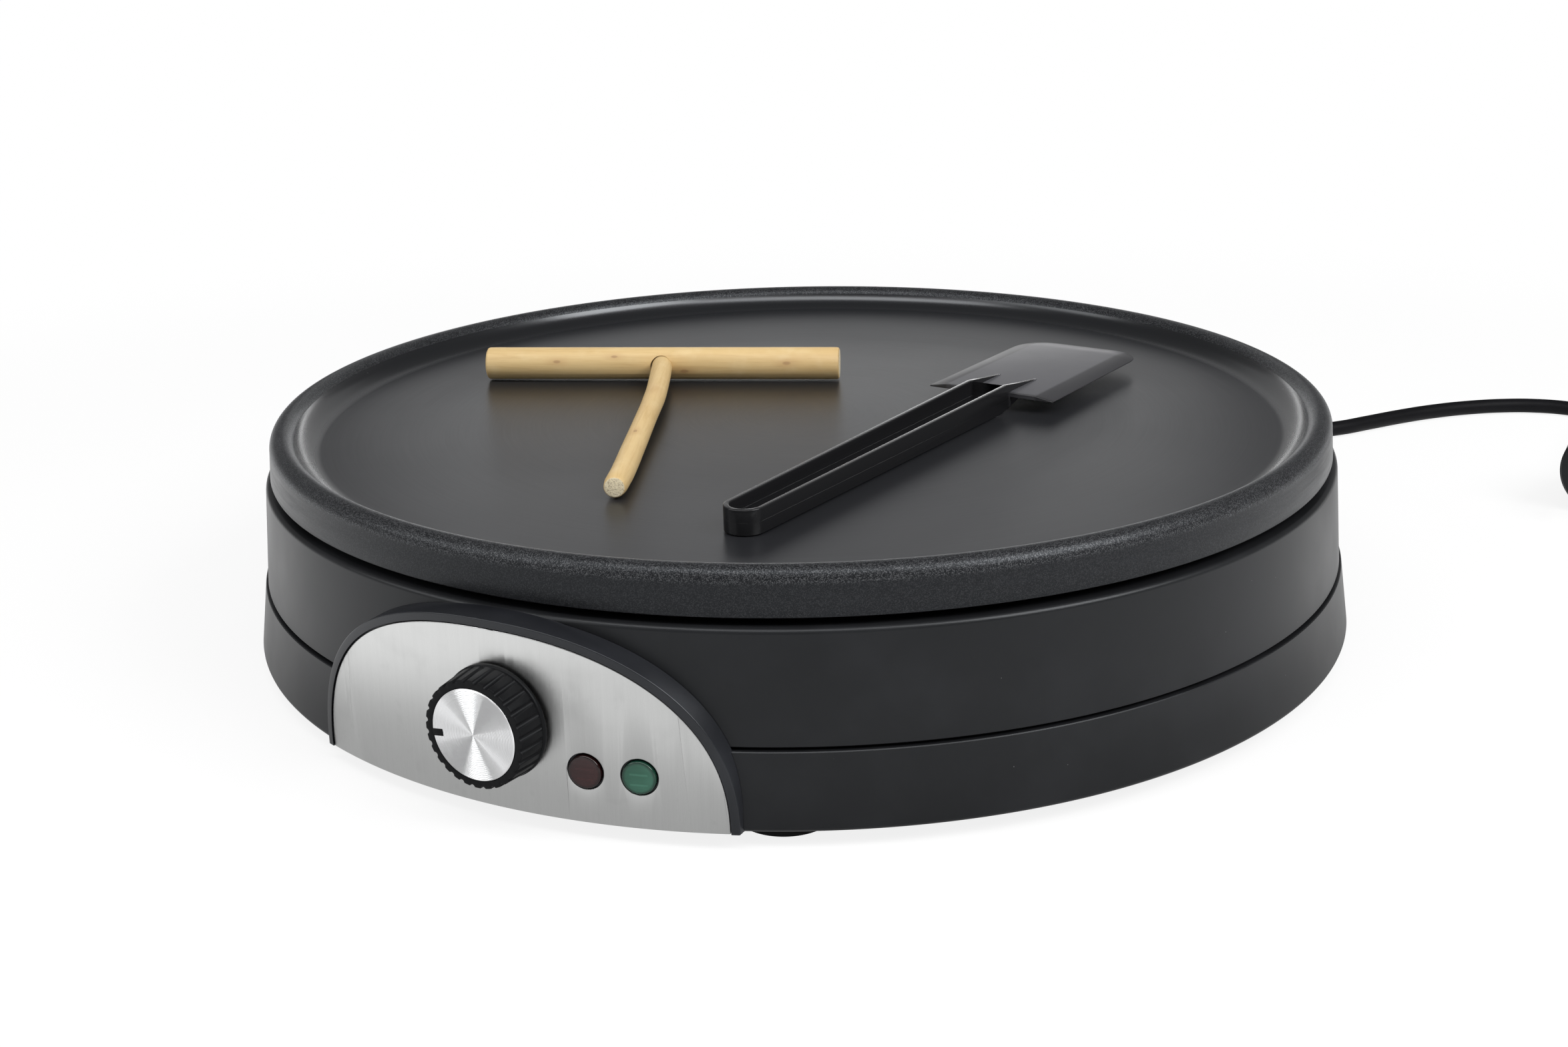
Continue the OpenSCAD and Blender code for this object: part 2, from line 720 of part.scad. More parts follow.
module thermostat_body() color("#3a3b3d") {
    on_knob_axis() difference() {
        union() {
            translate([-thermo_w / 2, -thermo_h / 2, thermo_front - thermo_depth])
                cube([thermo_w, thermo_h, thermo_depth]);
            translate([0, 0, thermo_front - lift]) cylinder(d = bush_d, h = bush_front - thermo_front + lift);
        }
        translate([0, 0, shaft_back - 0.5]) cylinder(d = shaft_d + 2 * run_gap, h = 2 * base_r);
    }
}

module thermostat_nut() color("#b8a878") {
    on_knob_axis() translate([0, 0, nut_back]) difference() {
        cylinder(d = nut_af / cos(30), h = nut_t, $fn = 6);
        translate([0, 0, -1]) cylinder(d = bush_d + 2 * snug, h = nut_t + 2);
    }
}

module thermostat_shaft() color("#b8a878") {
    on_knob_axis() difference() {
        translate([0, 0, shaft_back]) cylinder(d = shaft_d, h = shaft_front - shaft_back);
        translate([-shaft_d, shaft_flat, hub_back + 0.4]) cube([2 * shaft_d, shaft_d, knob_depth]);
    }
}

thermo_tabs = [-11, 11];
thermo_tab_end = thermo_front - thermo_depth - 8;

module thermostat_terminals() color("#b8a878") {
    on_knob_axis() for (x = thermo_tabs)
        translate([x - 0.4, -3.15, thermo_tab_end]) cube([0.8, 6.3, 8]);
}

// Children turned to the pointer's direction on the knob's face, seen from the front
module at_pointer() {
    rotate([0, 0, 180 + pointer_turn]) children();
}

module knob_grip() color("#17181a") {
    on_knob_axis() difference() {
        union() {
            translate([0, 0, knob_back]) cylinder(d = knob_ring_d, h = knob_ring_t);
            translate([0, 0, knob_back + knob_ring_t - lift])
                linear_extrude(knob_depth - knob_ring_t + lift) difference() {
                circle(d = knob_grip_d, $fn = 128);
                for (i = [0 : knob_flutes - 1])
                    rotate([0, 0, 360 * (i + 0.5) / knob_flutes])
                        translate([knob_grip_d / 2 + 0.25, 0]) circle(r = 0.75, $fn = 24);
            }
        }
        // the open back, round the hub
        difference() {
            translate([0, 0, knob_back - 1]) cylinder(d = knob_inner_d, h = knob_depth - knob_web + 1);
            translate([0, 0, hub_back]) cylinder(d = hub_d, h = knob_depth);
        }
        // the hub's bore, with a flat
        difference() {
            translate([0, 0, hub_back - 1]) cylinder(d = shaft_d + 2 * snug, h = shaft_front - hub_back + 1.1);
            translate([-shaft_d, shaft_flat + spring_room, hub_back + 0.4])
                cube([2 * shaft_d, shaft_d, knob_depth]);
        }
        // the seat of the cap
        difference() {
            translate([0, 0, knob_front - cap_t + cap_proud])
                cylinder(d = knob_cap_d + 2 * snug, h = knob_depth);
            at_pointer() translate([knob_cap_d / 2 - pointer_in, -pointer_w / 2, 0])
                cube([20, pointer_w, knob_front]);
        }
    }
}

spring_room = 0.7;

module knob_spring() color("#9a9c9d") {
    on_knob_axis() translate([-1.5, shaft_flat + snug, hub_back + 0.6])
        cube([3, 0.4, shaft_front - hub_back - 0.8]);
}

module knob_cap() color("#d9dbdc") {
    on_knob_axis() translate([0, 0, knob_front - cap_t + cap_proud]) difference() {
        cylinder(d = knob_cap_d, h = cap_t);
        at_pointer() translate([knob_cap_d / 2 - pointer_in - snug, -pointer_w / 2 - snug, -1])
            cube([20, pointer_w + 2 * snug, cap_t + 2]);
    }
}

// ---------------------------------------------------------------- lamps

lens_dome = 1.2;
lens_rim = panel_front_r - 0.3;
lens_dome_r = (pow(lens_d / 2, 2) + pow(lens_dome, 2)) / (2 * lens_dome);
lens_flange_front = sqrt(pow(web_r, 2) - pow(lens_d / 2 + 1.2, 2)) - snug;

module lens(bearing) {
    on_lamp_axis(bearing) {
        rotate_extrude($fn = 64) polygon(concat(
            [[0, lens_flange_front - 1.4], [lens_d / 2 + 1.2, lens_flange_front - 1.4],
             [lens_d / 2 + 1.2, lens_flange_front], [lens_d / 2, lens_flange_front]],
            [for (i = [0 : 6])
                let (a = asin(lens_d / 2 / lens_dome_r) * (1 - i / 6))
                [lens_dome_r * sin(a), lens_rim + lens_dome - lens_dome_r * (1 - cos(a))]]));
    }
}

module red_lens() color("#5a1512") lens(red_lamp_at);
module green_lens() color("#5fae6a") lens(green_lamp_at);

socket_front = lens_flange_front - 1.4 - 0.1;
socket_len = 14;

module lamp(bearing) {
    on_lamp_axis(bearing) rotate_extrude($fn = 48) polygon(concat(
        [[0, socket_front - 11], [2.6, socket_front - 11]],
        arc(0, socket_front - 3, 2.6, 0, 90, 6)));
}

module red_lamp() color("#e8c8b0") lamp(red_lamp_at);
module green_lamp() color("#d8e8d0") lamp(green_lamp_at);

module lamp_sockets() color("#e6e2d6") {
    for (a = [red_lamp_at, green_lamp_at]) on_lamp_axis(a) {
        difference() {
            translate([0, 0, socket_front - socket_len]) cylinder(d = 11.6, h = socket_len);
            translate([0, 0, socket_front - 11 - snug]) cylinder(d = 5.2 + 2 * snug, h = socket_len);
        }
    }
}

// ---------------------------------------------------------------- wiring

lead_r = 1.3;
block_y = base_r - 62;
block_z = floor_top + 3;
block_w = 40;
block_d = 16;
block_h = 14;
block_pitch = 12;
block_wire_d = 3.6;
block_well_d = 4;
block_screw_x = 17;
clamp_y = base_r - 28;
clamp_base_z = cord_z - cord_d / 2 - snug;
clamp_screw_x = 12;
earth_x = 24;
earth_y = 70;

module terminal_block() color("#e9e6dc") {
    difference() {
        translate([-block_w / 2, block_y - block_d / 2, block_z]) cube([block_w, block_d, block_h]);
        for (i = [-1 : 1]) translate([i * block_pitch * 0.9, 0, 0]) {
            translate([0, block_y - block_d, block_z + 5]) rotate([-90, 0, 0])
                cylinder(d = block_wire_d, h = 2 * block_d, $fn = 32);
            translate([0, block_y, block_z + 5]) cylinder(d = block_well_d, h = block_h, $fn = 32);
        }
        for (x = [-1, 1]) translate([x * block_screw_x, block_y, block_z - 1]) {
            cylinder(d = small_screw_d + 0.4, h = cut, $fn = 32);
            translate([0, 0, 5]) cylinder(d = 2 * small_screw_d, h = cut, $fn = 32);
        }
    }
}

module terminal_block_screws() color("#8d9093") {
    for (x = [-1, 1])
        translate([x * block_screw_x, block_y, block_z + 4]) rotate([180, 0, 0])
            screw(small_screw_d, 6.6, 5.2, 2);
}

// Leads from the cord's end, through the terminal block, to the parts that they feed
function block_port(i, side) = [i * block_pitch * 0.9, block_y + side * (block_d / 2 - 2), block_z + 5];
function fuse_side(side) = [fuse_x + side * (fuse_len / 2 + 0.1), fuse_y, plate_z - snug - fuse_d / 2];
function fuse_drop(side, z) = [fuse_x + side * fuse_lead_x, fuse_y, z];
function leg_foot(side) = [
    side * (element_r * sin(element_open / 2) - element_bend * cos(element_open / 2)),
    -element_r * cos(element_open / 2) - element_bend * sin(element_open / 2),
    element_leg_z - 9.1];
thermo_tab_l = [knob_x + thermo_tabs[0], -thermo_tab_end + 0.1, knob_z];
thermo_tab_r = [knob_x + thermo_tabs[1], -thermo_tab_end + 0.1, knob_z];
earth_foot = [earth_x, earth_y, shield_floor_z - 3.5];

module lead(route) {
    tube(smooth(route, 3), lead_r, 8);
}

module core(i) {
    up = cord_z + (i == 0 ? 1.8 : -0.9);
    lead([[i * 1.65, entry_start - 0.1, up], [i * 1.65, entry_start - 2, up], [i * 1.65, entry_start - 4, up],
          [i * 4.8, entry_start - 8.5, cord_z], block_port(i, 1) + [0, 6.6, 0.2], block_port(i, 1) + [0, 4, 0], block_port(i, 1)]);
}

module live_lead() color("#6b4a32") {
    core(-1);
    lead([block_port(-1, -1), block_port(-1, -1) - [0, 5, 0], block_port(-1, -1) + [-2, -12, 1], [-40, 60, 16],
          [-64, 0, 14], [-50, -80, 14], [-22, -130, 22], [thermo_tab_l[0], -148, 32],
          thermo_tab_l + [0, 6, 0], thermo_tab_l + [0, 3, 0], thermo_tab_l]);
}

module neutral_lead() color("#3c6fa8") {
    core(1);
    lead([block_port(1, -1), block_port(1, -1) - [0, 5, 0], block_port(1, -1) + [2, -12, 1], [44, 60, 16],
          [62, 0, 13], [54, -60, 13], [44, -92, 19], leg_foot(1) - [0, 0, 9], leg_foot(1) - [0, 0, 4], leg_foot(1)]);
}

module earth_lead() color("#8aa03a") {
    core(0);
    lead([block_port(0, -1), block_port(0, -1) - [0, 5, 0], block_port(0, -1) + [1, -12, 2], [8, 100, 22],
          [earth_x - 4, 84, 36], earth_foot - [0, 0, 8], earth_foot - [0, 0, 3], earth_foot]);
}

module switched_lead() color("#7a5a40") {
    lead([thermo_tab_r, thermo_tab_r + [0, 3, 0], thermo_tab_r + [0, 6, 0], [thermo_tab_r[0] - 4, -146, 29],
          [-8, -134, 24], [-30, -100, 26], [fuse_x + fuse_lead_x - 1, fuse_y - 16, 34],
          fuse_drop(1, shield_floor_z - 6), fuse_drop(1, shield_floor_z), fuse_drop(1, shield_floor_z + 4),
          fuse_side(1) + [4.4, 0, -1.4], fuse_side(1) + [2, 0, 0], fuse_side(1) + [1, 0, 0], fuse_side(1)]);
}

module return_lead() color("#7a5a40") {
    lead([fuse_side(-1), fuse_side(-1) - [1, 0, 0], fuse_side(-1) - [2, 0, 0], fuse_side(-1) - [4.4, 0, 1.4],
          fuse_drop(-1, shield_floor_z + 4), fuse_drop(-1, shield_floor_z), fuse_drop(-1, shield_floor_z - 6),
          [-78, -70, 32], [-62, -98, 26], leg_foot(-1) - [0, 0, 9], leg_foot(-1) - [0, 0, 4], leg_foot(-1)]);
}

module lamp_leads() color("#7d8084") {
    for (a = [red_lamp_at, green_lamp_at], side = [-1, 1])
        rotate([0, 0, a]) translate([0, 0, lamp_z])
            lead([for (p = [[2.4, 0.1, 0], [2.4, 1.6, 0], [2.4, 3, 0], [2.6, 12, -1], [1.8, 28, -5], [1.6, 42, -6]])
                [side * p[0], -socket_front + socket_len + p[1], p[2]]]);
}

module earth_screw() color("#b8a878") {
    translate([earth_x, earth_y, shield_floor_z]) {
        translate([0, 0, -3.4]) cylinder(d = 4, h = 8, $fn = 32);
        translate([0, 0, shield_t + 0.05]) cylinder(d = 7 / cos(30), h = 3, $fn = 6);
        translate([0, 0, -3.4]) cylinder(d = 8, h = 2.2, $fn = 32);
        translate([0, 0, -1.25]) cylinder(d = 9, h = 1.2, $fn = 32);
    }
}

module cord_clamp() color("#e6e2d6") {
    difference() {
        translate([-17, clamp_y - 6, clamp_base_z]) cube([34, 12, cord_d + 5]);
        translate([0, clamp_y - 10, cord_z]) rotate([-90, 0, 0]) cylinder(d = cord_d + 2 * snug, h = 20);
        translate([-cord_d / 2 - snug, clamp_y - 10, clamp_base_z - 1])
            cube([cord_d + 2 * snug, 20, cord_d / 2 + 1]);
        for (x = [-1, 1]) translate([x * clamp_screw_x, clamp_y, clamp_base_z - 1]) {
            cylinder(d = small_screw_d + 0.5, h = cut, $fn = 32);
            translate([0, 0, 5]) cylinder(d = 6.4, h = cut, $fn = 32);
        }
    }
}

module cord_clamp_screws() color("#8d9093") {
    for (x = [-1, 1])
        translate([x * clamp_screw_x, clamp_y, clamp_base_z + 4]) rotate([180, 0, 0])
            screw(small_screw_d, 8, 5.8, 2.4);
}

relief_neck_d = 13;
relief_flange_d = 18;
relief_out = base_r - base_lean * (cord_z - relief_flange_d / 2 - base_z) / base_h + seat_gap;
relief_in = base_r - base_lean * (cord_z + relief_flange_d / 2 - base_z) / base_h - wall - 0.6;

module strain_relief() color("#1b1c1d") {
    on_cord_axis() difference() {
        union() {
            translate([0, 0, relief_in - 2]) cylinder(d = relief_flange_d - 1, h = 2);
            translate([0, 0, relief_in - lift])
                cylinder(d = relief_neck_d, h = relief_out - relief_in + 2 * lift);
            translate([0, 0, relief_out]) cylinder(d = relief_flange_d, h = 2);
            translate([0, 0, relief_out + 2 - lift])
                cylinder(d1 = relief_neck_d, d2 = cord_d + 2.4, h = relief_end - relief_out - 2 + lift);
        }
        cylinder(d = cord_d + 2 * snug, h = 2 * base_r);
    }
}

module cord_entry() color("#202122") {
    on_cord_axis() translate([0, 0, entry_start]) cylinder(d = cord_d, h = relief_end - entry_start);
}

// ---------------------------------------------------------------- tools on the plate

spreader_at = flat_r * [-0.419, 0.140];
spreader_turn = 22.1;
bar_z = flat_z + seat_gap + bar_d / 2;
stick_drop = asin((bar_d - stick_d) / 2 / stick_len);
stick_skew = 2.5;
stick_start = bar_d / 2 + 0.1 + stick_d / 2 * sin(stick_skew);
tenon_d = 6;
spatula_at = flat_r * [0.2592, -0.7229];
spatula_turn = 83.8;

module on_spreader() {
    translate([spreader_at[0], spreader_at[1], bar_z]) rotate([0, 0, spreader_turn]) children();
}

// Along the handle's axis, which leans down to the plate and isn't quite square to the bar
module on_stick_axis() {
    on_spreader() rotate([0, 0, stick_skew]) rotate([90 - stick_drop, 0, 0]) children();
}

module spreader_bar() color("#dcc49a") {
    difference() {
        on_spreader() translate([-bar_len / 2, 0, 0]) rotate([0, 90, 0]) cylinder(d = bar_d, h = bar_len);
        on_stick_axis() translate([0, 0, -1]) cylinder(d = tenon_d + 2 * snug, h = bar_d);
    }
}

module spreader_handle() color("#dcc49a") {
    on_stick_axis() {
        translate([0, 0, -0.6]) cylinder(d = tenon_d, h = bar_d);
        translate([0, 0, stick_start]) cylinder(d = stick_d, h = stick_len - stick_start);
    }
}

handle_end_r = 6.9;
hang_hole_d = 6.4;
handle_blade_w = 16.6;
handle_wall = 1.8;
handle_end_h = 8.4;
handle_h = 10;
blade_up = 4.9;
prong_len = 22;
blade_corner = 13;

// Outline of the spatula's handle from its round end at the origin, drawn in by inset, to x = to
function handle_outline(inset, to) =
    concat(arc(0, 0, handle_end_r - inset, 270, 90, 16),
           [[to, handle_end_r + (handle_blade_w / 2 - handle_end_r) * to / spatula_handle_len - inset],
            [to, -handle_end_r - (handle_blade_w / 2 - handle_end_r) * to / spatula_handle_len + inset]]);

// A side view of the handle, cut to its height at the end and at the blade
module handle_side() {
    rise = (handle_h - handle_end_h) / spatula_handle_len;
    tip = spatula_handle_len + prong_len;
    translate([0, blade_w, 0]) rotate([90, 0, 0]) linear_extrude(2 * blade_w) polygon([
        [-handle_end_r - 1, 0],
        [spatula_handle_len - 6, 0],
        [tip - 4, blade_up],
        [tip, blade_up + blade_t],
        [tip - 0.5, blade_up + blade_t + 0.2],
        [tip - prong_len * 1.1, handle_h],
        [-handle_end_r - 1, handle_end_h - rise * handle_end_r]]);
}

module spatula() color("#1c1d1e") {
    far = spatula_handle_len + blade_len;
    translate([spatula_at[0], spatula_at[1], flat_z + seat_gap]) rotate([0, 0, spatula_turn]) {
        difference() {
            intersection() {
                linear_extrude(handle_h + 1) polygon(handle_outline(0, spatula_handle_len + prong_len));
                handle_side();
            }
            // the open channel along the handle
            translate([0, 0, handle_wall]) linear_extrude(cut)
                polygon(handle_outline(handle_wall, spatula_handle_len - 2));
            // the channel goes on between the prongs, above the blade
            translate([0, 0, blade_up + blade_t / 2]) linear_extrude(cut)
                polygon(handle_outline(handle_wall, spatula_handle_len + prong_len + 1));
            translate([0, 0, -1]) cylinder(d = hang_hole_d, h = handle_wall + 2);
        }
        translate([0, 0, blade_up]) linear_extrude(blade_t) polygon(concat(
            [[spatula_handle_len, blade_w / 2], [spatula_handle_len, -blade_w / 2]],
            arc(far - blade_corner, -blade_w / 2 + blade_corner, blade_corner, 270, 360, 8),
            arc(far - blade_corner, blade_w / 2 - blade_corner, blade_corner, 0, 90, 8)));
    }
}

// ---------------------------------------------------------------- cord, coil and plug

coil_at = [304, relief_end + 130.8];
coil_low = 1;
coil_in = 33;
coil_out = 47;
coil_h = 14;
cord_bottom = cord_d / 2 + 0.1;
plug_z = plug_d / 2 + 0.2;

// The cord's way over the table, measured from the end of the strain relief
function from_relief(p) = [for (q = p) [q[0], relief_end + q[1], q[2]]];
cord_route = from_relief([
    [0, 0, cord_z], [0, 1.5, cord_z], [0, 3, cord_z],
    [0, 9.8, cord_z - 1.4], [0.4, 17.8, cord_z - 5], [2.4, 26.3, cord_z - 9.2], [7, 34.8, cord_bottom + 1.8],
    [14, 42.3, cord_bottom], [26, 48.8, cord_bottom], [42, 52.8, cord_bottom], [60, 54.8, cord_bottom],
    [78, 56.8, cord_bottom], [95, 60.3, cord_bottom], [110, 65.8, cord_bottom], [124, 74.3, cord_bottom],
    [137, 86.3, cord_bottom], [147.5, 100.8, cord_bottom], [160, 118.3, cord_bottom], [172.5, 133.3, cord_bottom],
    [187, 146.8, cord_bottom], [202, 156.8, cord_bottom], [216, 162.3, cord_bottom], [230, 163.6, cord_bottom],
    [243, 160, cord_bottom], [250.8, 151.6, cord_bottom], [253.6, 141.6, cord_bottom], [253.1, 132, cord_bottom]]);
tail_route = from_relief([
    [255.5, 115.8, 12], [256.5, 107.8, 13], [259, 97.8, 14.8], [261.5, 87.8, 17.2], [262.8, 78.8, plug_z],
    [262.8, 75.3, plug_z], [262.8, 72.8, plug_z], [262.8, 69.8, plug_z]]);

module power_cord() color("#1a1b1c") {
    tube(smooth(cord_route, 2), cord_d / 2, 10);
}

module cord_coil() color("#1a1b1c") {
    translate([coil_at[0], coil_at[1], 0]) ring(coil_out, coil_in, coil_low, coil_low + coil_h);
}

module cord_tail() color("#1a1b1c") {
    tube(smooth(tail_route, 2), cord_d / 2, 10);
}

module cord_tie() color("#101112") {
    translate([coil_at[0], coil_at[1], 0]) rotate([0, 0, 40]) difference() {
        translate([coil_in - 1.2, -2, coil_low - 0.9]) cube([coil_out - coil_in + 2.4, 4, coil_h + 1.8]);
        translate([coil_in - 0.2, -3, coil_low - 0.1]) cube([coil_out - coil_in + 0.4, 6, coil_h + 0.2]);
    }
}

// The plug lies on its side with its pins towards -Y
plug_end = tail_route[len(tail_route) - 1] - [0, 0.1, 0];
plug_len = 40;
plug_tail = 20;
pin_d = 4.8;
pin_len = 19;
pin_tip = 1.4;
pin_apart = 19;
pin_root = 8;
pin_root_d = pin_d - 1;

module on_plug_axis() {
    translate(plug_end) rotate([90, 0, 0]) children();
}

module plug_body() color("#1a1b1c") {
    on_plug_axis() difference() {
        rotate_extrude() polygon([
            [0, 0], [cord_d / 2 + 1, 0], [cord_d / 2 + 2.6, plug_tail - 2], [9, plug_tail],
            [plug_d / 2 - 5, plug_tail + 8], [plug_d / 2 - 3.4, plug_tail + 24], [plug_d / 2, plug_tail + 28],
            [plug_d / 2, plug_tail + plug_len], [0, plug_tail + plug_len]]);
        for (x = [-1, 1]) translate([x * pin_apart / 2, 0, plug_tail + plug_len - pin_root])
            cylinder(d = pin_root_d + 2 * snug, h = 20);
        for (y = [-1, 1])
            translate([-4, y * (plug_d / 2 - 1.6) - 2, plug_tail + plug_len - 11]) cube([8, 4, 20]);
    }
}

module plug_pins() color("#c7c9ca") {
    on_plug_axis() for (x = [-1, 1])
        translate([x * pin_apart / 2, 0, plug_tail + plug_len]) {
            translate([0, 0, snug - pin_root]) cylinder(d = pin_root_d, h = pin_root - snug + lift);
            cylinder(d = pin_d, h = pin_len - pin_tip);
            translate([0, 0, pin_len - pin_tip - lift]) cylinder(d1 = pin_d, d2 = pin_d - 1.6, h = pin_tip);
        }
}

module plug_contacts() color("#c7c9ca") {
    on_plug_axis() for (y = [-1, 1])
        translate([-2.5, y * (plug_d / 2 - 3) - 0.4, plug_tail + plug_len - 10.8]) cube([5, 0.8, 10.2]);
}

lower_housing();
upper_housing();
housing_screws();
rubber_feet();
panel_bezel();
bezel_screws();
control_panel();
cooking_plate();
plate_pillars();
plate_screws();
heating_element();
element_clamps();
clamp_screws();
element_insulators();
element_terminals();
heat_shield();
sensor_bulb();
bulb_clip();
bulb_clip_screw();
capillary_tube();
thermal_fuse();
fuse_clip();
fuse_clip_screw();
thermostat_body();
thermostat_nut();
thermostat_shaft();
thermostat_terminals();
knob_grip();
knob_cap();
knob_spring();
red_lens();
green_lens();
red_lamp();
green_lamp();
lamp_sockets();
terminal_block();
terminal_block_screws();
live_lead();
neutral_lead();
earth_lead();
switched_lead();
return_lead();
lamp_leads();
earth_screw();
cord_clamp();
cord_clamp_screws();
strain_relief();
cord_entry();
spreader_bar();
spreader_handle();
spatula();
power_cord();
cord_coil();
cord_tail();
cord_tie();
plug_body();
plug_pins();
plug_contacts();
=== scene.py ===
import math

import bpy
from mathutils import Matrix, Vector


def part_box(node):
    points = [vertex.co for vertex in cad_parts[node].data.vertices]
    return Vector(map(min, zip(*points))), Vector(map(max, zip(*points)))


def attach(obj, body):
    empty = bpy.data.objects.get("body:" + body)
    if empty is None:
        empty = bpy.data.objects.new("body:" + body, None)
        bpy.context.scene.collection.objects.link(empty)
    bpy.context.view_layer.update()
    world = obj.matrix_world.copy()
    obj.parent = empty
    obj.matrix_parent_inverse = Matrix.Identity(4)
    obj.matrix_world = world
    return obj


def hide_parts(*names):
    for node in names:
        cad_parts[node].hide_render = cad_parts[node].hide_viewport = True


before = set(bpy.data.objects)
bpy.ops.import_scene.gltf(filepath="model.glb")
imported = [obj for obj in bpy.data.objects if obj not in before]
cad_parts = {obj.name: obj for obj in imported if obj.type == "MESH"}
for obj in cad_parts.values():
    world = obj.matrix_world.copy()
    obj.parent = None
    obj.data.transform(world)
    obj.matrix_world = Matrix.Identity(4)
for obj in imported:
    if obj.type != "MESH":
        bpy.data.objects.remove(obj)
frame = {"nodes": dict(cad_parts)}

bl_info = {
    "name": "Crepe Maker",
    "version": (1, 0, 0),
    "blender": (4, 5, 0),
    "location": "View3D > Sidebar > Crepe Maker",
    "description": "Builds an electric crepe maker with its batter spreader, spatula and cord",
    "category": "Add Mesh",
}

MM = 0.001
QUARTER = math.pi / 2
UP = Vector((0, 0, 1))
WHITE = (1, 1, 1, 1)
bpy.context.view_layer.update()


def low(node):
    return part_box(node)[0]


def high(node):
    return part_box(node)[1]


def middle(node):
    return (low(node) + high(node)) / 2


# Levels and radii that the frame sets
BASE_Z = low("lower_housing").z
BASE_R = high("lower_housing").x
DECK_TOP = high("upper_housing").z
PLATE_Z = low("cooking_plate").z
PLATE_R = high("cooking_plate").x
CREST_Z = high("cooking_plate").z
PANEL_R = -low("control_panel").y
BEZEL_R = -low("panel_bezel").y
KNOB_X, KNOB_Z = middle("knob_cap").x, middle("knob_grip").z
KNOB_FRONT = low("knob_grip").y
LENS_Z = middle("red_lens").z
RELIEF_END = high("strain_relief").y
CORD_Z = middle("strain_relief").z
COIL_AT = Vector((304 * MM, RELIEF_END + 130.8 * MM))

# The tools lie a little above the plate's flat
REST_GAP = 0.3 * MM
FLAT_Z = low("spatula").z - REST_GAP
# Screws join the two housings at these bearings and this radius
SCREW_BEARINGS = (-30, 30, 72, 108, 150, 210)
SCREW_R = BASE_R - 18 * MM
# A cutter for a hole in the wall runs from inside it to outside it
INSIDE_R, OUTSIDE_R = 150 * MM, 230 * MM


# ---------------------------------------------------------------- sizes and colours

def length(name, description, millimetres):
    return bpy.props.FloatProperty(
        name=name, description=description, default=millimetres * MM, min=0, precision=5, unit="LENGTH")


def turn(name, description, degrees):
    return bpy.props.FloatProperty(
        name=name, description=description, default=math.radians(degrees), unit="ROTATION")


def spot(name, description, x, y):
    return bpy.props.FloatVectorProperty(
        name=name, description=description, default=(x * MM, y * MM), size=2, precision=5, unit="LENGTH")


def amount(name, description, value):
    return bpy.props.FloatProperty(name=name, description=description, default=value, min=0)


def colour(name, description, *value):
    return bpy.props.FloatVectorProperty(
        name=name, description=description, default=value, size=3, min=0, max=1, subtype="COLOR")


class HousingSettings(bpy.types.PropertyGroup):
    wall: length("Wall", "Thickness of both housings' walls", 2.6)
    base_h: length("Lower housing", "Height of the lower housing", 24)
    groove: length("Groove", "Open height of the groove between the housings", 1)
    base_lean: length("Lower lean", "How far the lower housing's wall leans in", 3.2)
    upper_lean: length("Upper lean", "How far the upper housing's wall leans in", 2.6)
    step: length("Step", "How far the upper housing steps in at the groove", 0.9)
    edge: length("Edge", "Radius of the rounded edges at top and bottom", 1.8)
    tint: colour("Housing", "Colour of the moulded housings", 0.0100, 0.0104, 0.0116)
    gloss: amount("Roughness", "Roughness of the moulded housings", 0.36)


class PlateSettings(bpy.types.PropertyGroup):
    thick: length("Flat", "Thickness of the plate's flat middle", 4.7)
    rim_w: length("Rim", "Width of the rim, from its outer face to the flat", 18.2)
    crest: length("Crest", "Radius of the rim's rolled crest", 4.5)
    tint: colour("Coating", "Colour of the non-stick coating", 0.0145, 0.015, 0.017)
    dark: colour("Rim", "Colour of the coating on the rim", 0.009, 0.0093, 0.0105)
    flake: colour("Flakes", "Colour of the metal flakes in the coating", 0.22, 0.225, 0.235)


class PanelSettings(bpy.types.PropertyGroup):
    half_w: length("Half width", "Half of the steel panel's width, along its curve", 73.2)
    face: length("Frame", "Width of the dark frame's face round the steel", 3)
    height: length("Height", "Height of the frame", 59.8)
    slit: length("Slit", "Gap between the steel and its frame", 0.45)
    sheet: length("Sheet", "Thickness of the steel", 0.85)
    steel: colour("Steel", "Colour of the brushed steel", 0.60, 0.605, 0.60)
    frame: colour("Frame", "Colour of the frame", 0.013, 0.0138, 0.0165)


class KnobSettings(bpy.types.PropertyGroup):
    ring_d: length("Ring", "Diameter of the knob's base ring", 35.5)
    ring_t: length("Ring height", "Height of the base ring", 2)
    grip_d: length("Grip", "Diameter of the fluted grip", 33.6)
    cap_d: length("Cap", "Diameter of the metal cap", 28.4)
    flutes: bpy.props.IntProperty(name="Flutes", description="Number of flutes round the grip", default=28)
    pointer_turn: turn("Pointer", "Turn of the pointer below the horizontal", 6)
    pointer_w: length("Pointer width", "Width of the pointer", 2)
    pointer_in: length("Pointer length", "How far the pointer reaches into the cap", 3.5)
    grip: colour("Grip", "Colour of the grip", 0.0055, 0.0056, 0.0062)
    cap: colour("Cap", "Colour of the spun cap", 0.95, 0.955, 0.965)


class LampSettings(bpy.types.PropertyGroup):
    lens_d: length("Lens", "Diameter of a lamp's lens", 10.2)
    red_at: turn("Red lamp", "Bearing of the red lamp round the housing", 8.7)
    green_at: turn("Green lamp", "Bearing of the green lamp round the housing", 13.4)
    red: colour("Red", "Colour of the red lens", 0.022, 0.006, 0.006)
    green: colour("Green", "Colour of the green lens", 0.012, 0.066, 0.040)


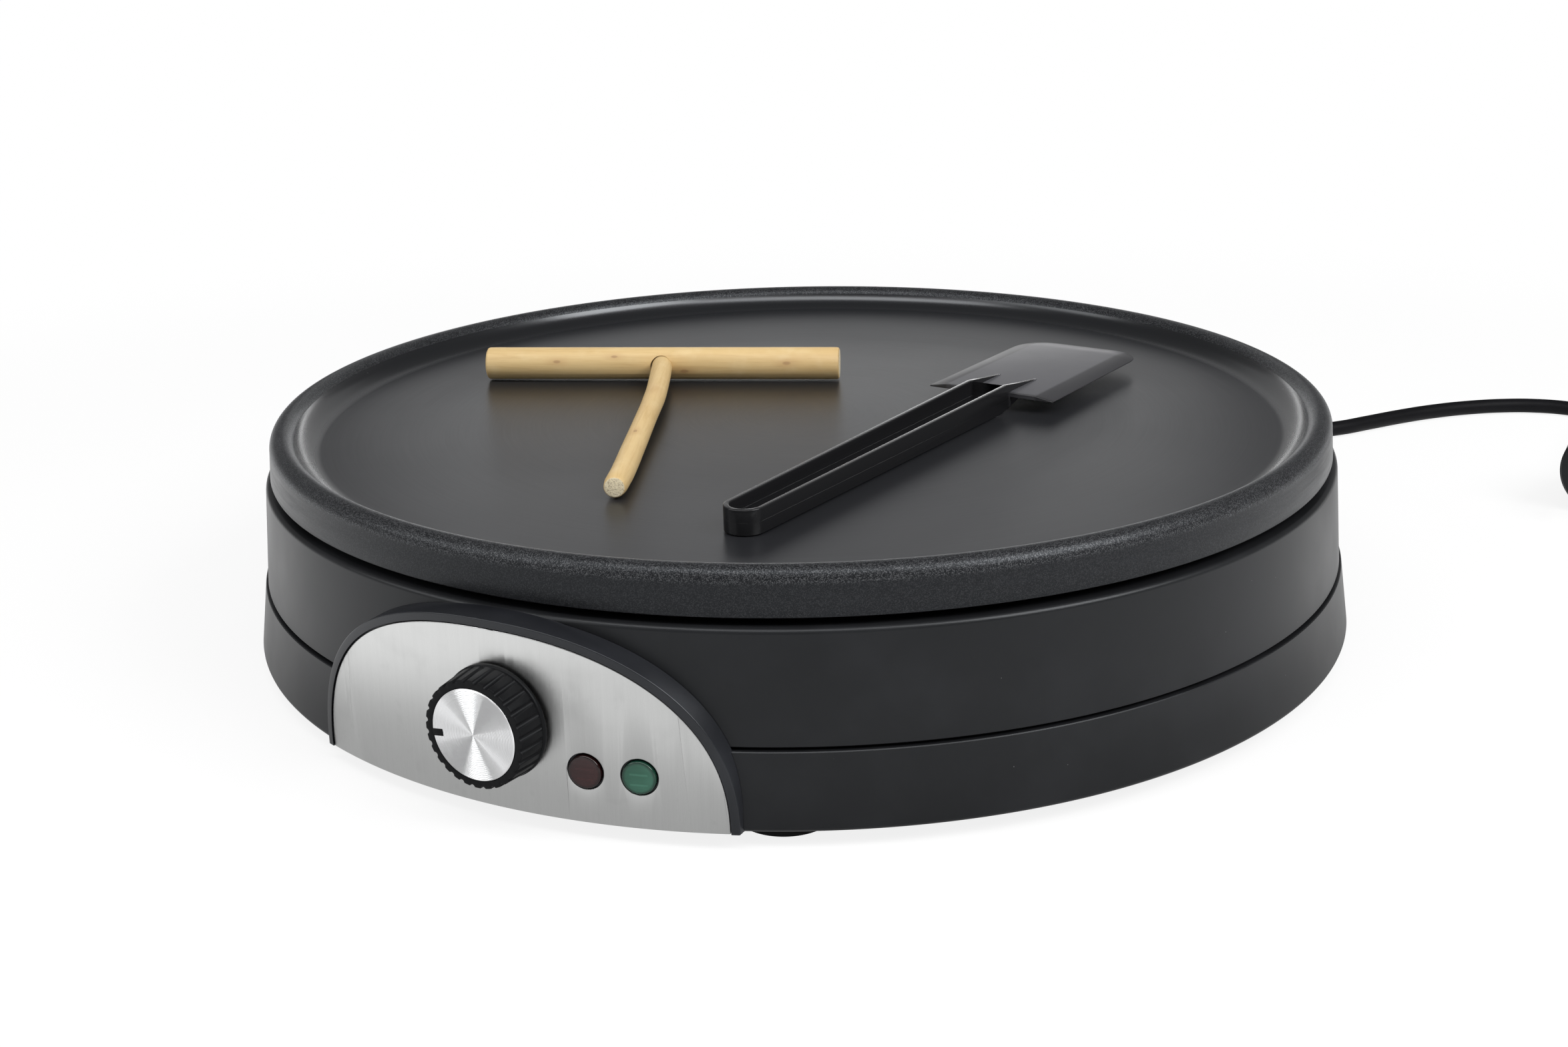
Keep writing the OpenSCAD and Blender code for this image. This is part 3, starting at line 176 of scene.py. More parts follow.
class SpreaderSettings(bpy.types.PropertyGroup):
    bar_d: length("Crossbar", "Diameter of the crossbar", 12.6)
    bar_len: length("Crossbar length", "Length of the crossbar", 140.4)
    stick_d: length("Handle", "Diameter of the handle", 8)
    stick_len: length("Handle length", "Length of the handle from the crossbar's axis", 154.5)
    at: spot("Place", "Middle of the crossbar on the plate", -72.7, 24.3)
    angle: turn("Turn", "Turn of the crossbar", 22.1)
    skew: turn("Skew", "How far the handle is off square", 2.5)
    wood: colour("Wood", "Colour of the pale wood", 0.65, 0.47, 0.225)
    grain: colour("Grain", "Colour of the wood's darker grain", 0.50, 0.32, 0.125)


class SpatulaSettings(bpy.types.PropertyGroup):
    handle_len: length("Handle", "Length of the handle up to the blade", 160)
    blade_w: length("Blade width", "Width of the blade", 51)
    blade_len: length("Blade length", "Length of the blade", 82)
    blade_t: length("Blade thickness", "Thickness of the blade in its middle", 1.8)
    at: spot("Place", "Middle of the handle's round end on the plate", 44.893, -125.206)
    angle: turn("Turn", "Turn of the spatula on the plate", 83.8)
    tint: colour("Plastic", "Colour of the black plastic", 0.012, 0.012, 0.013)


class CordSettings(bpy.types.PropertyGroup):
    cord_d: length("Cord", "Diameter of the mains cord", 7)
    plug_d: length("Plug", "Diameter of the plug's face", 37.4)
    tint: colour("Rubber", "Colour of the cord and plug", 0.0055, 0.0055, 0.0065)


class StageSettings(bpy.types.PropertyGroup):
    floor: colour("Floor", "Colour of the pale floor", 0.9, 0.9, 0.9)
    horizon: amount("Horizon", "Strength of the soft light from low down all round", 0.25)
    above: amount("Above", "Strength of the soft light from above", 0.14)
    overhead: amount("Overhead", "Strength of the overhead light", 17)
    back: amount("Back", "Strength of the soft light behind", 0.50)
    low: amount("Low", "Strength of the low light behind", 1.05)
    left: amount("Left", "Strength of the left light", 10.5)
    right: amount("Right", "Strength of the right light", 26)


# ---------------------------------------------------------------- modelling

def deselect():
    if bpy.context.object and bpy.context.object.mode != "OBJECT":
        bpy.ops.object.mode_set(mode="OBJECT")
    bpy.ops.object.select_all(action="DESELECT")


def only(piece):
    deselect()
    piece.select_set(True)
    bpy.context.view_layer.objects.active = piece


def edit(piece):
    """Enters edit mode with the whole piece selected"""
    only(piece)
    bpy.ops.object.mode_set(mode="EDIT")
    bpy.ops.mesh.select_all(action="SELECT")


def named(name):
    piece = bpy.context.object
    piece.name = name
    piece.data.name = name
    return piece


def draw_line(name, points):
    """A chain of edges, drawn from one vertex to the next, left in edit mode"""
    deselect()
    bpy.ops.mesh.primitive_plane_add(size=MM)
    piece = named(name)
    bpy.ops.object.mode_set(mode="EDIT")
    bpy.ops.mesh.select_mode(type="VERT")
    bpy.ops.mesh.select_all(action="SELECT")
    bpy.ops.mesh.merge(type="CENTER")
    bpy.ops.transform.translate(value=points[0])
    for start, end in zip(points, points[1:]):
        bpy.ops.mesh.extrude_region_move(TRANSFORM_OT_translate={"value": end - start})
    bpy.ops.mesh.select_all(action="SELECT")
    return piece


def close_up():
    """Merges doubles and turns the faces outwards, then leaves edit mode"""
    bpy.ops.mesh.select_mode(type="VERT")
    bpy.ops.mesh.select_all(action="SELECT")
    bpy.ops.mesh.remove_doubles(threshold=0.01 * MM)
    bpy.ops.mesh.select_all(action="SELECT")
    bpy.ops.mesh.delete_loose(use_verts=True, use_edges=True, use_faces=False)
    bpy.ops.mesh.select_all(action="SELECT")
    bpy.ops.mesh.normals_make_consistent(inside=False)
    bpy.ops.object.mode_set(mode="OBJECT")


def lathe(name, profile, steps):
    """A solid turned about Z from a closed line of (radius, height) points"""
    points = [Vector((r, 0, z)) for r, z in profile]
    piece = draw_line(name, points + [points[0]])
    bpy.ops.mesh.spin(steps=steps, angle=2 * math.pi, center=(0, 0, 0), axis=UP)
    close_up()
    return piece


def rod(name, r, start, end, steps):
    """A round rod about Z, from one height to another"""
    return lathe(name, [(0, start), (r, start), (r, end), (0, end)], steps)


def slab(name, outline, along):
    """A closed flat outline, filled and drawn out along a vector"""
    piece = draw_line(name, outline)
    bpy.ops.mesh.edge_face_add()
    bpy.ops.mesh.extrude_region_move(TRANSFORM_OT_translate={"value": along})
    close_up()
    return piece


def lying(name, outline, z, height):
    """A slab with an outline of (x, y) points, drawn up from z"""
    return slab(name, [Vector((x, y, z)) for x, y in outline], Vector((0, 0, height)))


def standing(name, outline, y, depth):
    """A slab with an outline of (x, z) points, drawn back from y"""
    return slab(name, [Vector((x, y, z)) for x, z in outline], Vector((0, depth, 0)))


def outward(piece):
    """Turns the faces round if they enclose a negative volume, as they can on a tube"""
    piece.data.calc_loop_triangles()
    corners = [[piece.data.vertices[i].co for i in face.vertices] for face in piece.data.loop_triangles]
    if sum(a.cross(b).dot(c) for a, b, c in corners) < 0:
        edit(piece)
        bpy.ops.mesh.flip_normals()
        bpy.ops.object.mode_set(mode="OBJECT")
    return piece


def place(piece, matrix):
    """Moves a piece, with the move put into its mesh"""
    only(piece)
    piece.matrix_world = matrix @ piece.matrix_world
    bpy.ops.object.transform_apply(location=True, rotation=True, scale=True)
    return piece


def copies(piece, matrices):
    """The piece repeated at each matrix and joined into one"""
    made = []
    for matrix in matrices:
        only(piece)
        bpy.ops.object.duplicate()
        made.append(place(bpy.context.object, matrix))
    name = piece.name
    bpy.data.objects.remove(piece)
    return join(name, made)


def around(piece, r, bearings):
    """The piece repeated round Z, moved out by a radius at each bearing in degrees"""
    return copies(piece, [about_z(math.radians(a)) @ shifted(r, 0, 0) for a in bearings])


def join(name, made):
    deselect()
    for piece in made:
        piece.select_set(True)
    bpy.context.view_layer.objects.active = made[0]
    if len(made) > 1:
        bpy.ops.object.join()
    return named(name)


def finish_with(piece, kind, **settings):
    """Adds a modifier, sets it and applies it"""
    only(piece)
    bpy.ops.object.modifier_add(type=kind)
    modifier = piece.modifiers[-1]
    for key, value in settings.items():
        setattr(modifier, key, value)
    bpy.ops.object.modifier_apply(modifier=modifier.name)
    return piece


def cut(piece, cutter, operation="DIFFERENCE"):
    finish_with(piece, "BOOLEAN", object=cutter, operation=operation, solver="EXACT")
    bpy.data.objects.remove(cutter)
    if not piece.data.polygons:
        raise RuntimeError(piece.name + " has nothing left after a cut")
    return piece


def weld(piece, millimetres):
    edit(piece)
    bpy.ops.mesh.remove_doubles(threshold=millimetres * MM)
    bpy.ops.object.mode_set(mode="OBJECT")


def round_edges(piece, millimetres, sharper_than, segments):
    return finish_with(
        piece, "BEVEL", width=millimetres * MM, segments=segments, limit_method="ANGLE",
        angle_limit=math.radians(sharper_than), use_clamp_overlap=False, harden_normals=False)


def smooth(piece, angle=30):
    only(piece)
    bpy.ops.object.shade_smooth_by_angle(angle=math.radians(angle))
    return piece


def mount(piece, body, slot, material, *nodes):
    """Gives a finished piece its material and its body, and hides the CAD nodes that it stands for"""
    piece.data.materials.clear()
    piece.data.materials.append(material)
    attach(piece, body)
    if nodes:
        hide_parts(*nodes)
    return piece


def repaint(node, material):
    piece = frame["nodes"][node]
    if not piece.material_slots:
        piece.data.materials.append(material)
    for slot in piece.material_slots:
        slot.material = material


def about_x(angle):
    return Matrix.Rotation(angle, 4, "X")


def about_z(angle):
    return Matrix.Rotation(angle, 4, "Z")


def shifted(x, y, z):
    return Matrix.Translation((x, y, z))


def near(x, y, *offsets):
    """Points set off from (x, y) by millimetres"""
    return [(x + right * MM, y + up * MM) for right, up in offsets]


def arc(x, y, r, start, end, steps):
    """Points on an arc about (x, y), with the angles in degrees"""
    angles = [math.radians(start + (end - start) * i / steps) for i in range(steps + 1)]
    return [(x + r * math.cos(a), y + r * math.sin(a)) for a in angles]


def stadium(long, r):
    """The outline of a slot with round ends, from x = 0 to long"""
    return arc(long, 0, r, -90, 90, 6) + arc(0, 0, r, 90, 270, 6)


def rounded(half_w, half_h, r):
    """The outline of a rectangle with round corners"""
    x, y = half_w - r, half_h - r
    corners = ((x, -half_h + r, -90), (x, y, 0), (-half_w + r, y, 90), (-half_w + r, -half_h + r, 180))
    return [point for x, y, start in corners for point in arc(x, y, r, start, start + 90, 4)]


def through(points, x):
    """The height at x of a smooth line through the points"""
    i = max(1, min(len(points) - 3, sum(1 for p in points if p[0] <= x) - 1))
    (x0, y0), (x1, y1), (x2, y2), (x3, y3) = points[i - 1:i + 3]
    if x < x1:
        return y0 + (y1 - y0) * (x - x0) / (x1 - x0)
    if x > x2:
        return y2 + (y3 - y2) * (x - x2) / (x3 - x2)
    t = (x - x1) / (x2 - x1)
    slope1, slope2 = [(b - a) / (d - c) * (x2 - x1) for a, b, c, d in ((y0, y2, x0, x2), (y1, y3, x1, x3))]
    return (
        (2 * t ** 3 - 3 * t ** 2 + 1) * y1 + (t ** 3 - 2 * t ** 2 + t) * slope1
        + (3 * t ** 2 - 2 * t ** 3) * y2 + (t ** 3 - t ** 2) * slope2)


def ease(value, start, end):
    """0 before start, 1 after end, and smooth between them"""
    t = min(max((value - start) / (end - start), 0), 1)
    return t * t * (3 - 2 * t)


# ---------------------------------------------------------------- materials

def adding(operation, swapped=False):
    """A method that adds a Math node fed by the value and by what is given with it"""
    def method(self, *others):
        inputs = (*others, self) if swapped else (self, *others)
        return self.nodes.node("ShaderNodeMath", {"operation": operation}, dict(enumerate(inputs)))
    return method


class Value:
    """A number that varies over a surface; arithmetic on it adds Math nodes"""

    __add__ = __radd__ = adding("ADD")
    __sub__ = adding("SUBTRACT")
    __rsub__ = adding("SUBTRACT", swapped=True)
    __mul__ = __rmul__ = adding("MULTIPLY")
    __abs__ = adding("ABSOLUTE")
    __lt__ = adding("LESS_THAN")
    __gt__ = adding("GREATER_THAN")
    wave = adding("SINE")
    toward = adding("ARCTAN2")
    root = adding("SQRT")

    def __init__(self, nodes, socket):
        self.nodes = nodes
        self.socket = socket

    def between(self, start, end, to_start=0.0, to_end=1.0):
        """Goes smoothly from to_start to to_end as the value goes from start to end"""
        return self.nodes.node(
            "ShaderNodeMapRange", {"interpolation_type": "SMOOTHSTEP"},
            {0: self, 1: start, 2: end, 3: to_start, 4: to_end})


class Nodes:
    """A node tree, with one method that adds any node to it"""

    def __init__(self, tree):
        self.tree = tree

    def feed(self, socket, value):
        if isinstance(value, Value):
            self.tree.links.new(value.socket, socket)
        else:
            socket.default_value = value

    def node(self, kind, settings=None, inputs=None, output=0):
        made = self.tree.nodes.new(kind)
        for key, value in (settings or {}).items():
            setattr(made, key, value)
        for key, value in (inputs or {}).items():
            self.feed(made.inputs[key], value)
        return Value(self, made.outputs[output])

    def outputs(self, value, *keys):
        """Other outputs of the node that a value comes from"""
        return [Value(self, value.socket.node.outputs[key]) for key in keys]


class Finish(Nodes):
    """A material with one main shader, and the nodes that vary it; sizes are in millimetres"""

    def __init__(self, name, tint, roughness, metallic=0.0, **constants):
        self.material = bpy.data.materials.new(name)
        self.material.use_nodes = True
        super().__init__(self.material.node_tree)
        self.shader = self.tree.nodes["Principled BSDF"]
        self.tint = (*tint, 1)
        self.material.diffuse_color = self.tint
        self.set(Base_Color=self.tint, Roughness=roughness, Metallic=metallic, **constants)
        self.at = self.node("ShaderNodeTexCoord", output="Object")
        self.x, self.y, self.z = self.outputs(self.split(self.at), 0, 1, 2)

    def set(self, **values):
        for key, value in values.items():
            self.feed(self.shader.inputs[key.replace("_", " ")], value)

    def split(self, vector):
        """The first number of a vector or colour"""
        return self.node("ShaderNodeSeparateXYZ", inputs={0: vector})

    def joined(self, x, y, z):
        return self.node("ShaderNodeCombineXYZ", inputs={0: x, 1: y, 2: z})

    def stretched(self, scale):
        """The place on the piece, scaled by a number for each axis"""
        return self.node("ShaderNodeVectorMath", {"operation": "MULTIPLY"}, {0: self.at, 1: scale})

    def along(self, direction, origin):
        """How far the place on the piece lies from origin in a direction"""
        settings, inputs = {"operation": "DOT_PRODUCT"}, {0: self.at, 1: tuple(direction)}
        dot = self.node("ShaderNodeVectorMath", settings, inputs, output=1)
        return dot - origin.dot(direction)

    def noise(self, size, detail=2.0, roughness=0.5, at=None, distortion=0.0):
        """Soft noise whose blobs are about size across"""
        return self.node("ShaderNodeTexNoise", inputs={
            "Vector": at or self.at, "Scale": 1 / (size * MM), "Detail": detail,
            "Roughness": roughness, "Distortion": distortion})

    def cells(self, size, output="Distance"):
        return self.node(
            "ShaderNodeTexVoronoi", inputs={"Vector": self.at, "Scale": 1 / (size * MM)}, output=output)

    def chance(self, size):
        """A random number for each cell"""
        return self.split(self.cells(size, "Color"))

    def specks(self, size, cell, share):
        """Small dots, one in a share of the cells"""
        chance = self.chance(cell)
        return (self.cells(cell) < size / cell) * (chance < share)

    def mix(self, factor, *colours):
        first, second = [c if isinstance(c, Value) else (*c, 1)[:4] for c in colours]
        return self.node(
            "ShaderNodeMix", {"data_type": "RGBA"}, {0: factor, 6: first, 7: second}, output=2)

    def bump(self, height, depth, strength=1.0):
        """Adds relief, where height runs from 0 to 1 and stands for depth, and gives the material"""
        self.set(Normal=self.node("ShaderNodeBump", inputs={
            "Strength": strength, "Distance": depth * MM, "Height": height}))
        return self.material


def shade(tint, factor):
    return tuple(factor * c for c in tint)


def distance(x, y):
    return (x * x + y * y).root()


def moulded(name, tint, roughness, grain=0.4, depth=0.006, dust=0.0, gleam=0.27):
    """Moulded plastic: fine grain, soft smudges in its sheen and a little dust"""
    finish = Finish(name, tint, roughness, Specular_IOR_Level=gleam, Specular_Tint=(0.94, 0.97, 1.0, 1))
    smudge = finish.noise(38, 3, 0.6)
    fine = finish.noise(grain, 2, 0.5)
    tone = finish.mix(smudge.between(0.35, 0.75), shade(tint, 0.82), shade(tint, 1.25))
    if dust:
        dots = finish.specks(0.16, 4.2, dust)
        tone = finish.mix(dots * 0.55, tone, (0.22, 0.22, 0.22))
    finish.set(Base_Color=tone, Roughness=roughness + (smudge - 0.5) * 0.16 + (fine - 0.5) * 0.05)
    return finish.bump(fine, depth)


def rubber(name, tint, roughness=0.62):
    finish = Finish(name, tint, roughness, Specular_IOR_Level=0.08)
    fine = finish.noise(0.25, 3, 0.6)
    broad = finish.noise(9, 2, 0.5)
    finish.set(
        Base_Color=finish.mix(broad, shade(tint, 0.8), shade(tint, 1.3)),
        Roughness=roughness + (broad - 0.5) * 0.14)
    return finish.bump(fine, 0.012)


def metal(name, tint, roughness, grain=0.5, stretch=(1, 1, 1), stain=None):
    """Plain metal: fine marks in its surface, and a stain that comes and goes"""
    finish = Finish(name, tint, roughness, 1.0)
    fine = finish.noise(grain, 3, 0.6, finish.stretched(stretch))
    broad = finish.noise(12, 3, 0.55)
    finish.set(
        Base_Color=finish.mix(broad.between(0.4, 0.75), tint, stain or shade(tint, 0.82)),
        Roughness=roughness + (fine - 0.5) * 0.12 + (broad - 0.5) * 0.1)
    return finish.bump(fine, 0.003)


def ceramic(name, tint, roughness=0.5):
    finish = Finish(name, tint, roughness)
    fine = finish.noise(0.6, 3, 0.6)
    broad = finish.noise(8)
    tone = finish.mix(broad, shade(tint, 0.88), tint)
    finish.set(Base_Color=tone, Roughness=roughness + (fine - 0.5) * 0.2)
    return finish.bump(fine, 0.01)


def coated_plate(s):
    """Non-stick coating on the flat and the rim's hollow: satin, faintly turned, a little dusty"""
    finish = Finish(
        "Plate coating", s.tint, 0.33, Specular_IOR_Level=0.62, Specular_Tint=(0.93, 0.965, 1.0, 1))
    out = distance(finish.x, finish.y)
    angle = finish.y.toward(finish.x)
    rim = out.between(PLATE_R - 19 * MM, PLATE_R - 13 * MM)
    turned = finish.noise(0.9, 3, 0.6, finish.joined(out, angle * 2 * MM, 0.0))
    smudge = finish.noise(60, 3, 0.55)
    fine = finish.noise(0.4, 3, 0.6)
    specks = finish.specks(0.13, 6, 0.25)
    base = finish.mix(rim, s.tint, s.dark)
    base = finish.mix(specks * 0.5, base, (0.25, 0.25, 0.25))
    finish.set(Base_Color=base, Roughness=0.33 - rim * 0.10 + (smudge + turned - 1) * 0.06)
    return finish.bump(fine * 0.3, 0.035, 0.6)


def rolled_rim(s):
    """The same coating on the rolled rim: a pebbled skin with metal flakes, and streaks down its skirt"""
    finish = Finish(
        "Rim coating", s.dark, 0.3, Specular_IOR_Level=0.20, Specular_Tint=(0.88, 0.94, 1.0, 1))
    angle = finish.y.toward(finish.x)
    skirt = finish.z.between(CREST_Z - 3.6 * MM, CREST_Z - 5.2 * MM)
    shine = finish.chance(0.22).between(0.45, 1.0) * (0.10 + (1 - skirt) * 0.27)
    streaks = finish.noise(1.1, 3, 0.6, finish.joined(finish.z, angle * 9 * MM, 0.0))
    smudge = finish.noise(60, 3, 0.55)
    pebble = finish.noise(0.42, 2, 0.5)
    base = finish.mix(shine, s.dark, s.flake)
    base = finish.mix(skirt * streaks.between(0.45, 0.75) * 0.25, base, (0.02, 0.021, 0.024))
    finish.set(
        Base_Color=base, Metallic=shine * 0.8,
        Roughness=0.37 - skirt * 0.02 + (smudge - 0.5) * 0.06 + skirt * (streaks - 0.5) * 0.2)
    return finish.bump(pebble * (1 - skirt * 0.5), 0.035, 0.7)


def brushed_steel(s):
    """Stainless sheet brushed up and down, with faint smudges"""
    finish = Finish("Brushed steel", s.steel, 0.3, 1.0, Anisotropic=0.6)
    along = finish.x.toward(finish.y * -1) * BEZEL_R
    drawn = finish.joined(along, finish.z * 0.012, 0.0)
    lines = finish.noise(0.16, 3, 0.65, drawn)
    bands = finish.noise(1.4, 2, 0.5, drawn)
    smudge = finish.noise(11, 2, 0.5)
    blot = finish.noise(5, 1, 0.5)
    tone = finish.mix(lines * 0.6 + bands * 0.4, shade(s.steel, 0.90), shade(s.steel, 1.08))
    marks = blot.between(0.66, 0.74) * 0.10 + smudge.between(0.55, 0.8) * 0.10
    tone = finish.mix(marks, tone, shade(s.steel, 0.72))
    finish.set(Base_Color=tone, Roughness=0.30 + (lines - 0.5) * 0.16 + smudge.between(0.5, 0.8) * 0.06)
    return finish.bump(lines, 0.035, 0.8)


def spun_metal(s):
    """Aluminium faced on a lathe, a little streaked along its rings"""
    finish = Finish("Spun aluminium", s.cap, 0.16, 1.0)
    across, up = finish.x - KNOB_X, finish.z - KNOB_Z
    out = distance(across, up)
    angle = across.toward(up)
    broad = finish.noise(0.6, 2, 0.5, finish.joined(out, angle * 0.2 * MM, 0.0))
    tone = finish.mix(broad, shade(s.cap, 0.93), s.cap)
    finish.set(Base_Color=tone, Roughness=0.15 + (broad - 0.5) * 0.08)
    rings = (out * (2 * math.pi / (0.3 * MM))).wave()
    return finish.bump(rings * 0.5 + broad * 0.06, 0.085)


def lens_plastic(name, tint, painted_lit_tint, bearing):
    """Coloured clear plastic with level ribs on its inner side; its colour holds painted light: a painted
    glow towards the lower right, painted highlights along the ribs and painted shade round its edge
    """
    finish = Finish(name, tint, 0.14, IOR=1.49)
    up = finish.z - LENS_Z
    side = (finish.x.toward(finish.y * -1) - bearing) * PANEL_R
    out = distance(side, up)
    # The ribs are painted as lighter bars: painted highlights
    rib_painted_highlights = (abs(abs(up + 0.5 * MM) - 1.6 * MM) < 0.3 * MM) * (abs(side) < 2.7 * MM)
    across = finish.noise(3.5, 1, 0.5)
    # Painted glow: the colour goes towards the painted lit tint to the lower right
    painted_glow = (side * 0.55 + up * -0.45).between(-4 * MM, 4 * MM) * 0.55 + across * 0.2
    # Painted shade round the lens's edge, where it sits in its hole
    edge = out.between(3.9 * MM, 4.8 * MM, 1.0, 0.25)
    body = finish.mix(painted_glow + rib_painted_highlights * 0.5, tint, painted_lit_tint)
    body = finish.mix(edge, shade(tint, 0.25), body)
    finish.set(Base_Color=body, Roughness=0.13 + across * 0.05)
    return finish.bump((up * (math.pi / (0.9 * MM))).wave() * 0.5 + 0.5, 0.04, 0.4)


def clear_glass(name, tint):
    finish = Finish(name, tint, 0.08, Transmission_Weight=0.85, IOR=1.46)
    mist = finish.noise(2, 2, 0.5)
    finish.set(Base_Color=finish.mix(mist, tint, (1.0, 0.93, 0.88)), Roughness=0.05 + mist * 0.08)
    return finish.material


def pale_wood(name, s, origin, heading, up, radius, knots):
    """Turned pale wood: long streaks, pores, pale blotches and small brown knots"""
    finish = Finish(name, s.wood, 0.55)
    along, across, above = [finish.along(way, origin) for way in (heading, up.cross(heading), up)]
    streaks = finish.noise(1.5, 4, 0.6, finish.joined(along * 0.06, across, above), 0.6)
    broad = finish.noise(16, 2, 0.5, finish.joined(along * 0.35, across, above))
    pores = finish.noise(0.22, 2, 0.6, finish.joined(along * 0.03, across, above))
    blotch = finish.noise(9, 2, 0.5)
    dark = streaks.between(0.42, 0.72) * 0.42 + broad.between(0.45, 0.8) * 0.30
    tone = finish.mix(dark, s.wood, s.grain)
    tone = finish.mix(blotch.between(0.52, 0.8) * 0.30, tone, (0.77, 0.63, 0.37))
    tone = finish.mix(pores.between(0.60, 0.74) * 0.25, tone, (0.36, 0.22, 0.10))
    for knot_at, angle, size in knots:
        a = math.radians(angle)
        d_along = (along - knot_at * MM) * 0.42
        d_side = across - radius * math.sin(a)
        d_up = above - radius * math.cos(a)
        away = (d_along * d_along + d_side * d_side + d_up * d_up).root()
        tone = finish.mix(away.between(2.6 * size * MM, 0.4 * size * MM) * 0.28, tone, (0.42, 0.22, 0.09))
        tone = finish.mix(away.between(0.75 * size * MM, 0.30 * size * MM) * 0.6, tone, (0.30, 0.16, 0.07))
    finish.set(Base_Color=tone, Roughness=0.52 + (streaks - 0.5) * 0.2)
    return finish.bump(streaks * 0.6 + pores * 0.4, 0.05, 0.6)


def end_grain(s):
    """The sawn end of a stick: open pores and torn fibres"""
    finish = Finish("Sawn wood", s.wood, 0.8)
    pores = finish.noise(0.55, 3, 0.7)
    broad = finish.noise(2.5, 2, 0.5)
    tone = finish.mix(broad, (0.78, 0.67, 0.45), (0.9, 0.8, 0.58))
    tone = finish.mix(pores.between(0.5, 0.66) * 0.75, tone, (0.30, 0.21, 0.12))
    finish.set(Base_Color=tone, Roughness=0.75 + (pores - 0.5) * 0.2)
    return finish.bump(1 - pores, 0.25)


def striped():
    """Green insulation with a yellow stripe"""
    finish = Finish("Earth insulation", (0.08, 0.3, 0.05), 0.6)
    stripe = (finish.x * (math.pi / (1.6 * MM)) + finish.z * (math.pi / (2.2 * MM))).wave() > 0.1
    fine = finish.noise(0.4)
    tone = finish.mix(stripe, (0.06, 0.28, 0.05), (0.65, 0.52, 0.04))
    finish.set(Base_Color=tone, Roughness=0.55 + fine * 0.1)
    return finish.material


# ---------------------------------------------------------------- stage

class CREPE_OT_stage(bpy.types.Operator):
    """Sets up the camera, the pale floor, the soft lights and the white surround"""
    bl_idname = "crepe.stage"
    bl_label = "Stage"

    eye = (0.321204, -0.627688, 0.270179)
    forward = Vector((-0.439240, 0.838881, -0.321476))
    upward = Vector((-0.128099, 0.295703, 0.946652))
    focal_length, film_width = 45.2587, 36
    # The direction across the camera's view, on the floor
    across = (0.889, 0.457)
    lit_at = Vector((0, 0, 60 * MM))
    # Each light's setting, place, and width and height
    soft_lights = (
        ("overhead", (0.1, -0.72, 1.6), (1.8, 0.55)),
        ("back", (-0.487, 0.930, 0.43), (0.80, 0.48)),
        ("low", (-0.487, 0.930, 0.10), (0.66, 0.18)),
        ("left", (-1.16, -1.20, 1.05), (1.5, 0.8)),
        ("right", (1.35, -0.15, 1.25), (1.0, 0.9)))

    def execute(self, context):
        s = context.scene.crepe_stage
        self.camera(context)
        self.floor(s)
        self.lights(s)
        self.surround(context, s)
        return {"FINISHED"}

    def camera(self, context):
        deselect()
        bpy.ops.object.camera_add(location=self.eye)
        camera = context.object
        turned = Matrix((self.forward.cross(self.upward), self.upward, -self.forward)).transposed()
        camera.rotation_euler = turned.to_euler()
        camera.data.lens = self.focal_length
        camera.data.sensor_width = self.film_width
        camera.data.clip_end = 100
        context.scene.camera = camera
        context.scene.view_settings.view_transform = "Standard"

    def floor(self, s):
        """A floor that looks white far off; reflections see painted light on it: painted shade near the
        object and painted brightness off to each side
        """
        deselect()
        bpy.ops.mesh.primitive_plane_add(size=30)
        floor = named("floor")
        finish = Finish("Floor", s.floor, 0.9)
        camera, glossy, clear = finish.outputs(
            finish.node("ShaderNodeLightPath"), "Is Camera Ray", "Is Glossy Ray", "Is Transmission Ray")
        far = distance(finish.x, finish.y)
        # Painted light on the floor as reflections see it: painted shade near the object and painted
        # brightness off to each side
        side = abs(finish.x * self.across[0] + finish.y * self.across[1]).between(0.17, 0.32)
        reflected_painted_light = far.between(0.2, 0.32, 0.56, 0.96) * (1 - side) + side * 1.25
        white = finish.node("ShaderNodeEmission", inputs={
            "Color": WHITE, "Strength": camera + (1 - camera) * reflected_painted_light})
        shown = finish.node("ShaderNodeMixShader", inputs={
            0: camera * far.between(0.4, 0.8, 0.85, 1.0) + glossy + clear,
            1: Value(finish, finish.shader.outputs[0]), 2: white})
        finish.feed(finish.tree.nodes["Material Output"].inputs["Surface"], shown)
        floor.data.materials.append(finish.material)

    def lights(self, s):
        for name, place_at, size in self.soft_lights:
            deselect()
            bpy.ops.object.light_add(type="AREA", location=place_at)
            light = named(name + " light")
            light.data.shape = "RECTANGLE"
            light.data.size, light.data.size_y = size
            light.data.energy = getattr(s, name)
            light.visible_camera = False
            light.rotation_euler = (self.lit_at - light.location).to_track_quat("-Z", "Y").to_euler()

    def surround(self, context, s):
        """Light from all round that weakens upwards, seen by the camera as plain white"""
        world = context.scene.world or bpy.data.worlds.new("Surround")
        context.scene.world = world
        world.use_nodes = True
        nodes = Nodes(world.node_tree)
        lit = nodes.tree.nodes["Background"]
        lit.inputs["Color"].default_value = WHITE
        way = nodes.node("ShaderNodeTexCoord", output="Generated")
        height = nodes.node("ShaderNodeSeparateXYZ", inputs={0: way}, output="Z")
        nodes.feed(lit.inputs["Strength"], height.between(0.10, 0.48, s.horizon, s.above))
        white = nodes.node("ShaderNodeBackground", inputs={"Color": WHITE})
        camera = nodes.node("ShaderNodeLightPath", output="Is Camera Ray")
        mixed = nodes.node("ShaderNodeMixShader", inputs={
            0: camera, 1: Value(nodes, lit.outputs[0]), 2: white})
        nodes.feed(nodes.tree.nodes["World Output"].inputs["Surface"], mixed)


# ---------------------------------------------------------------- cord and plug

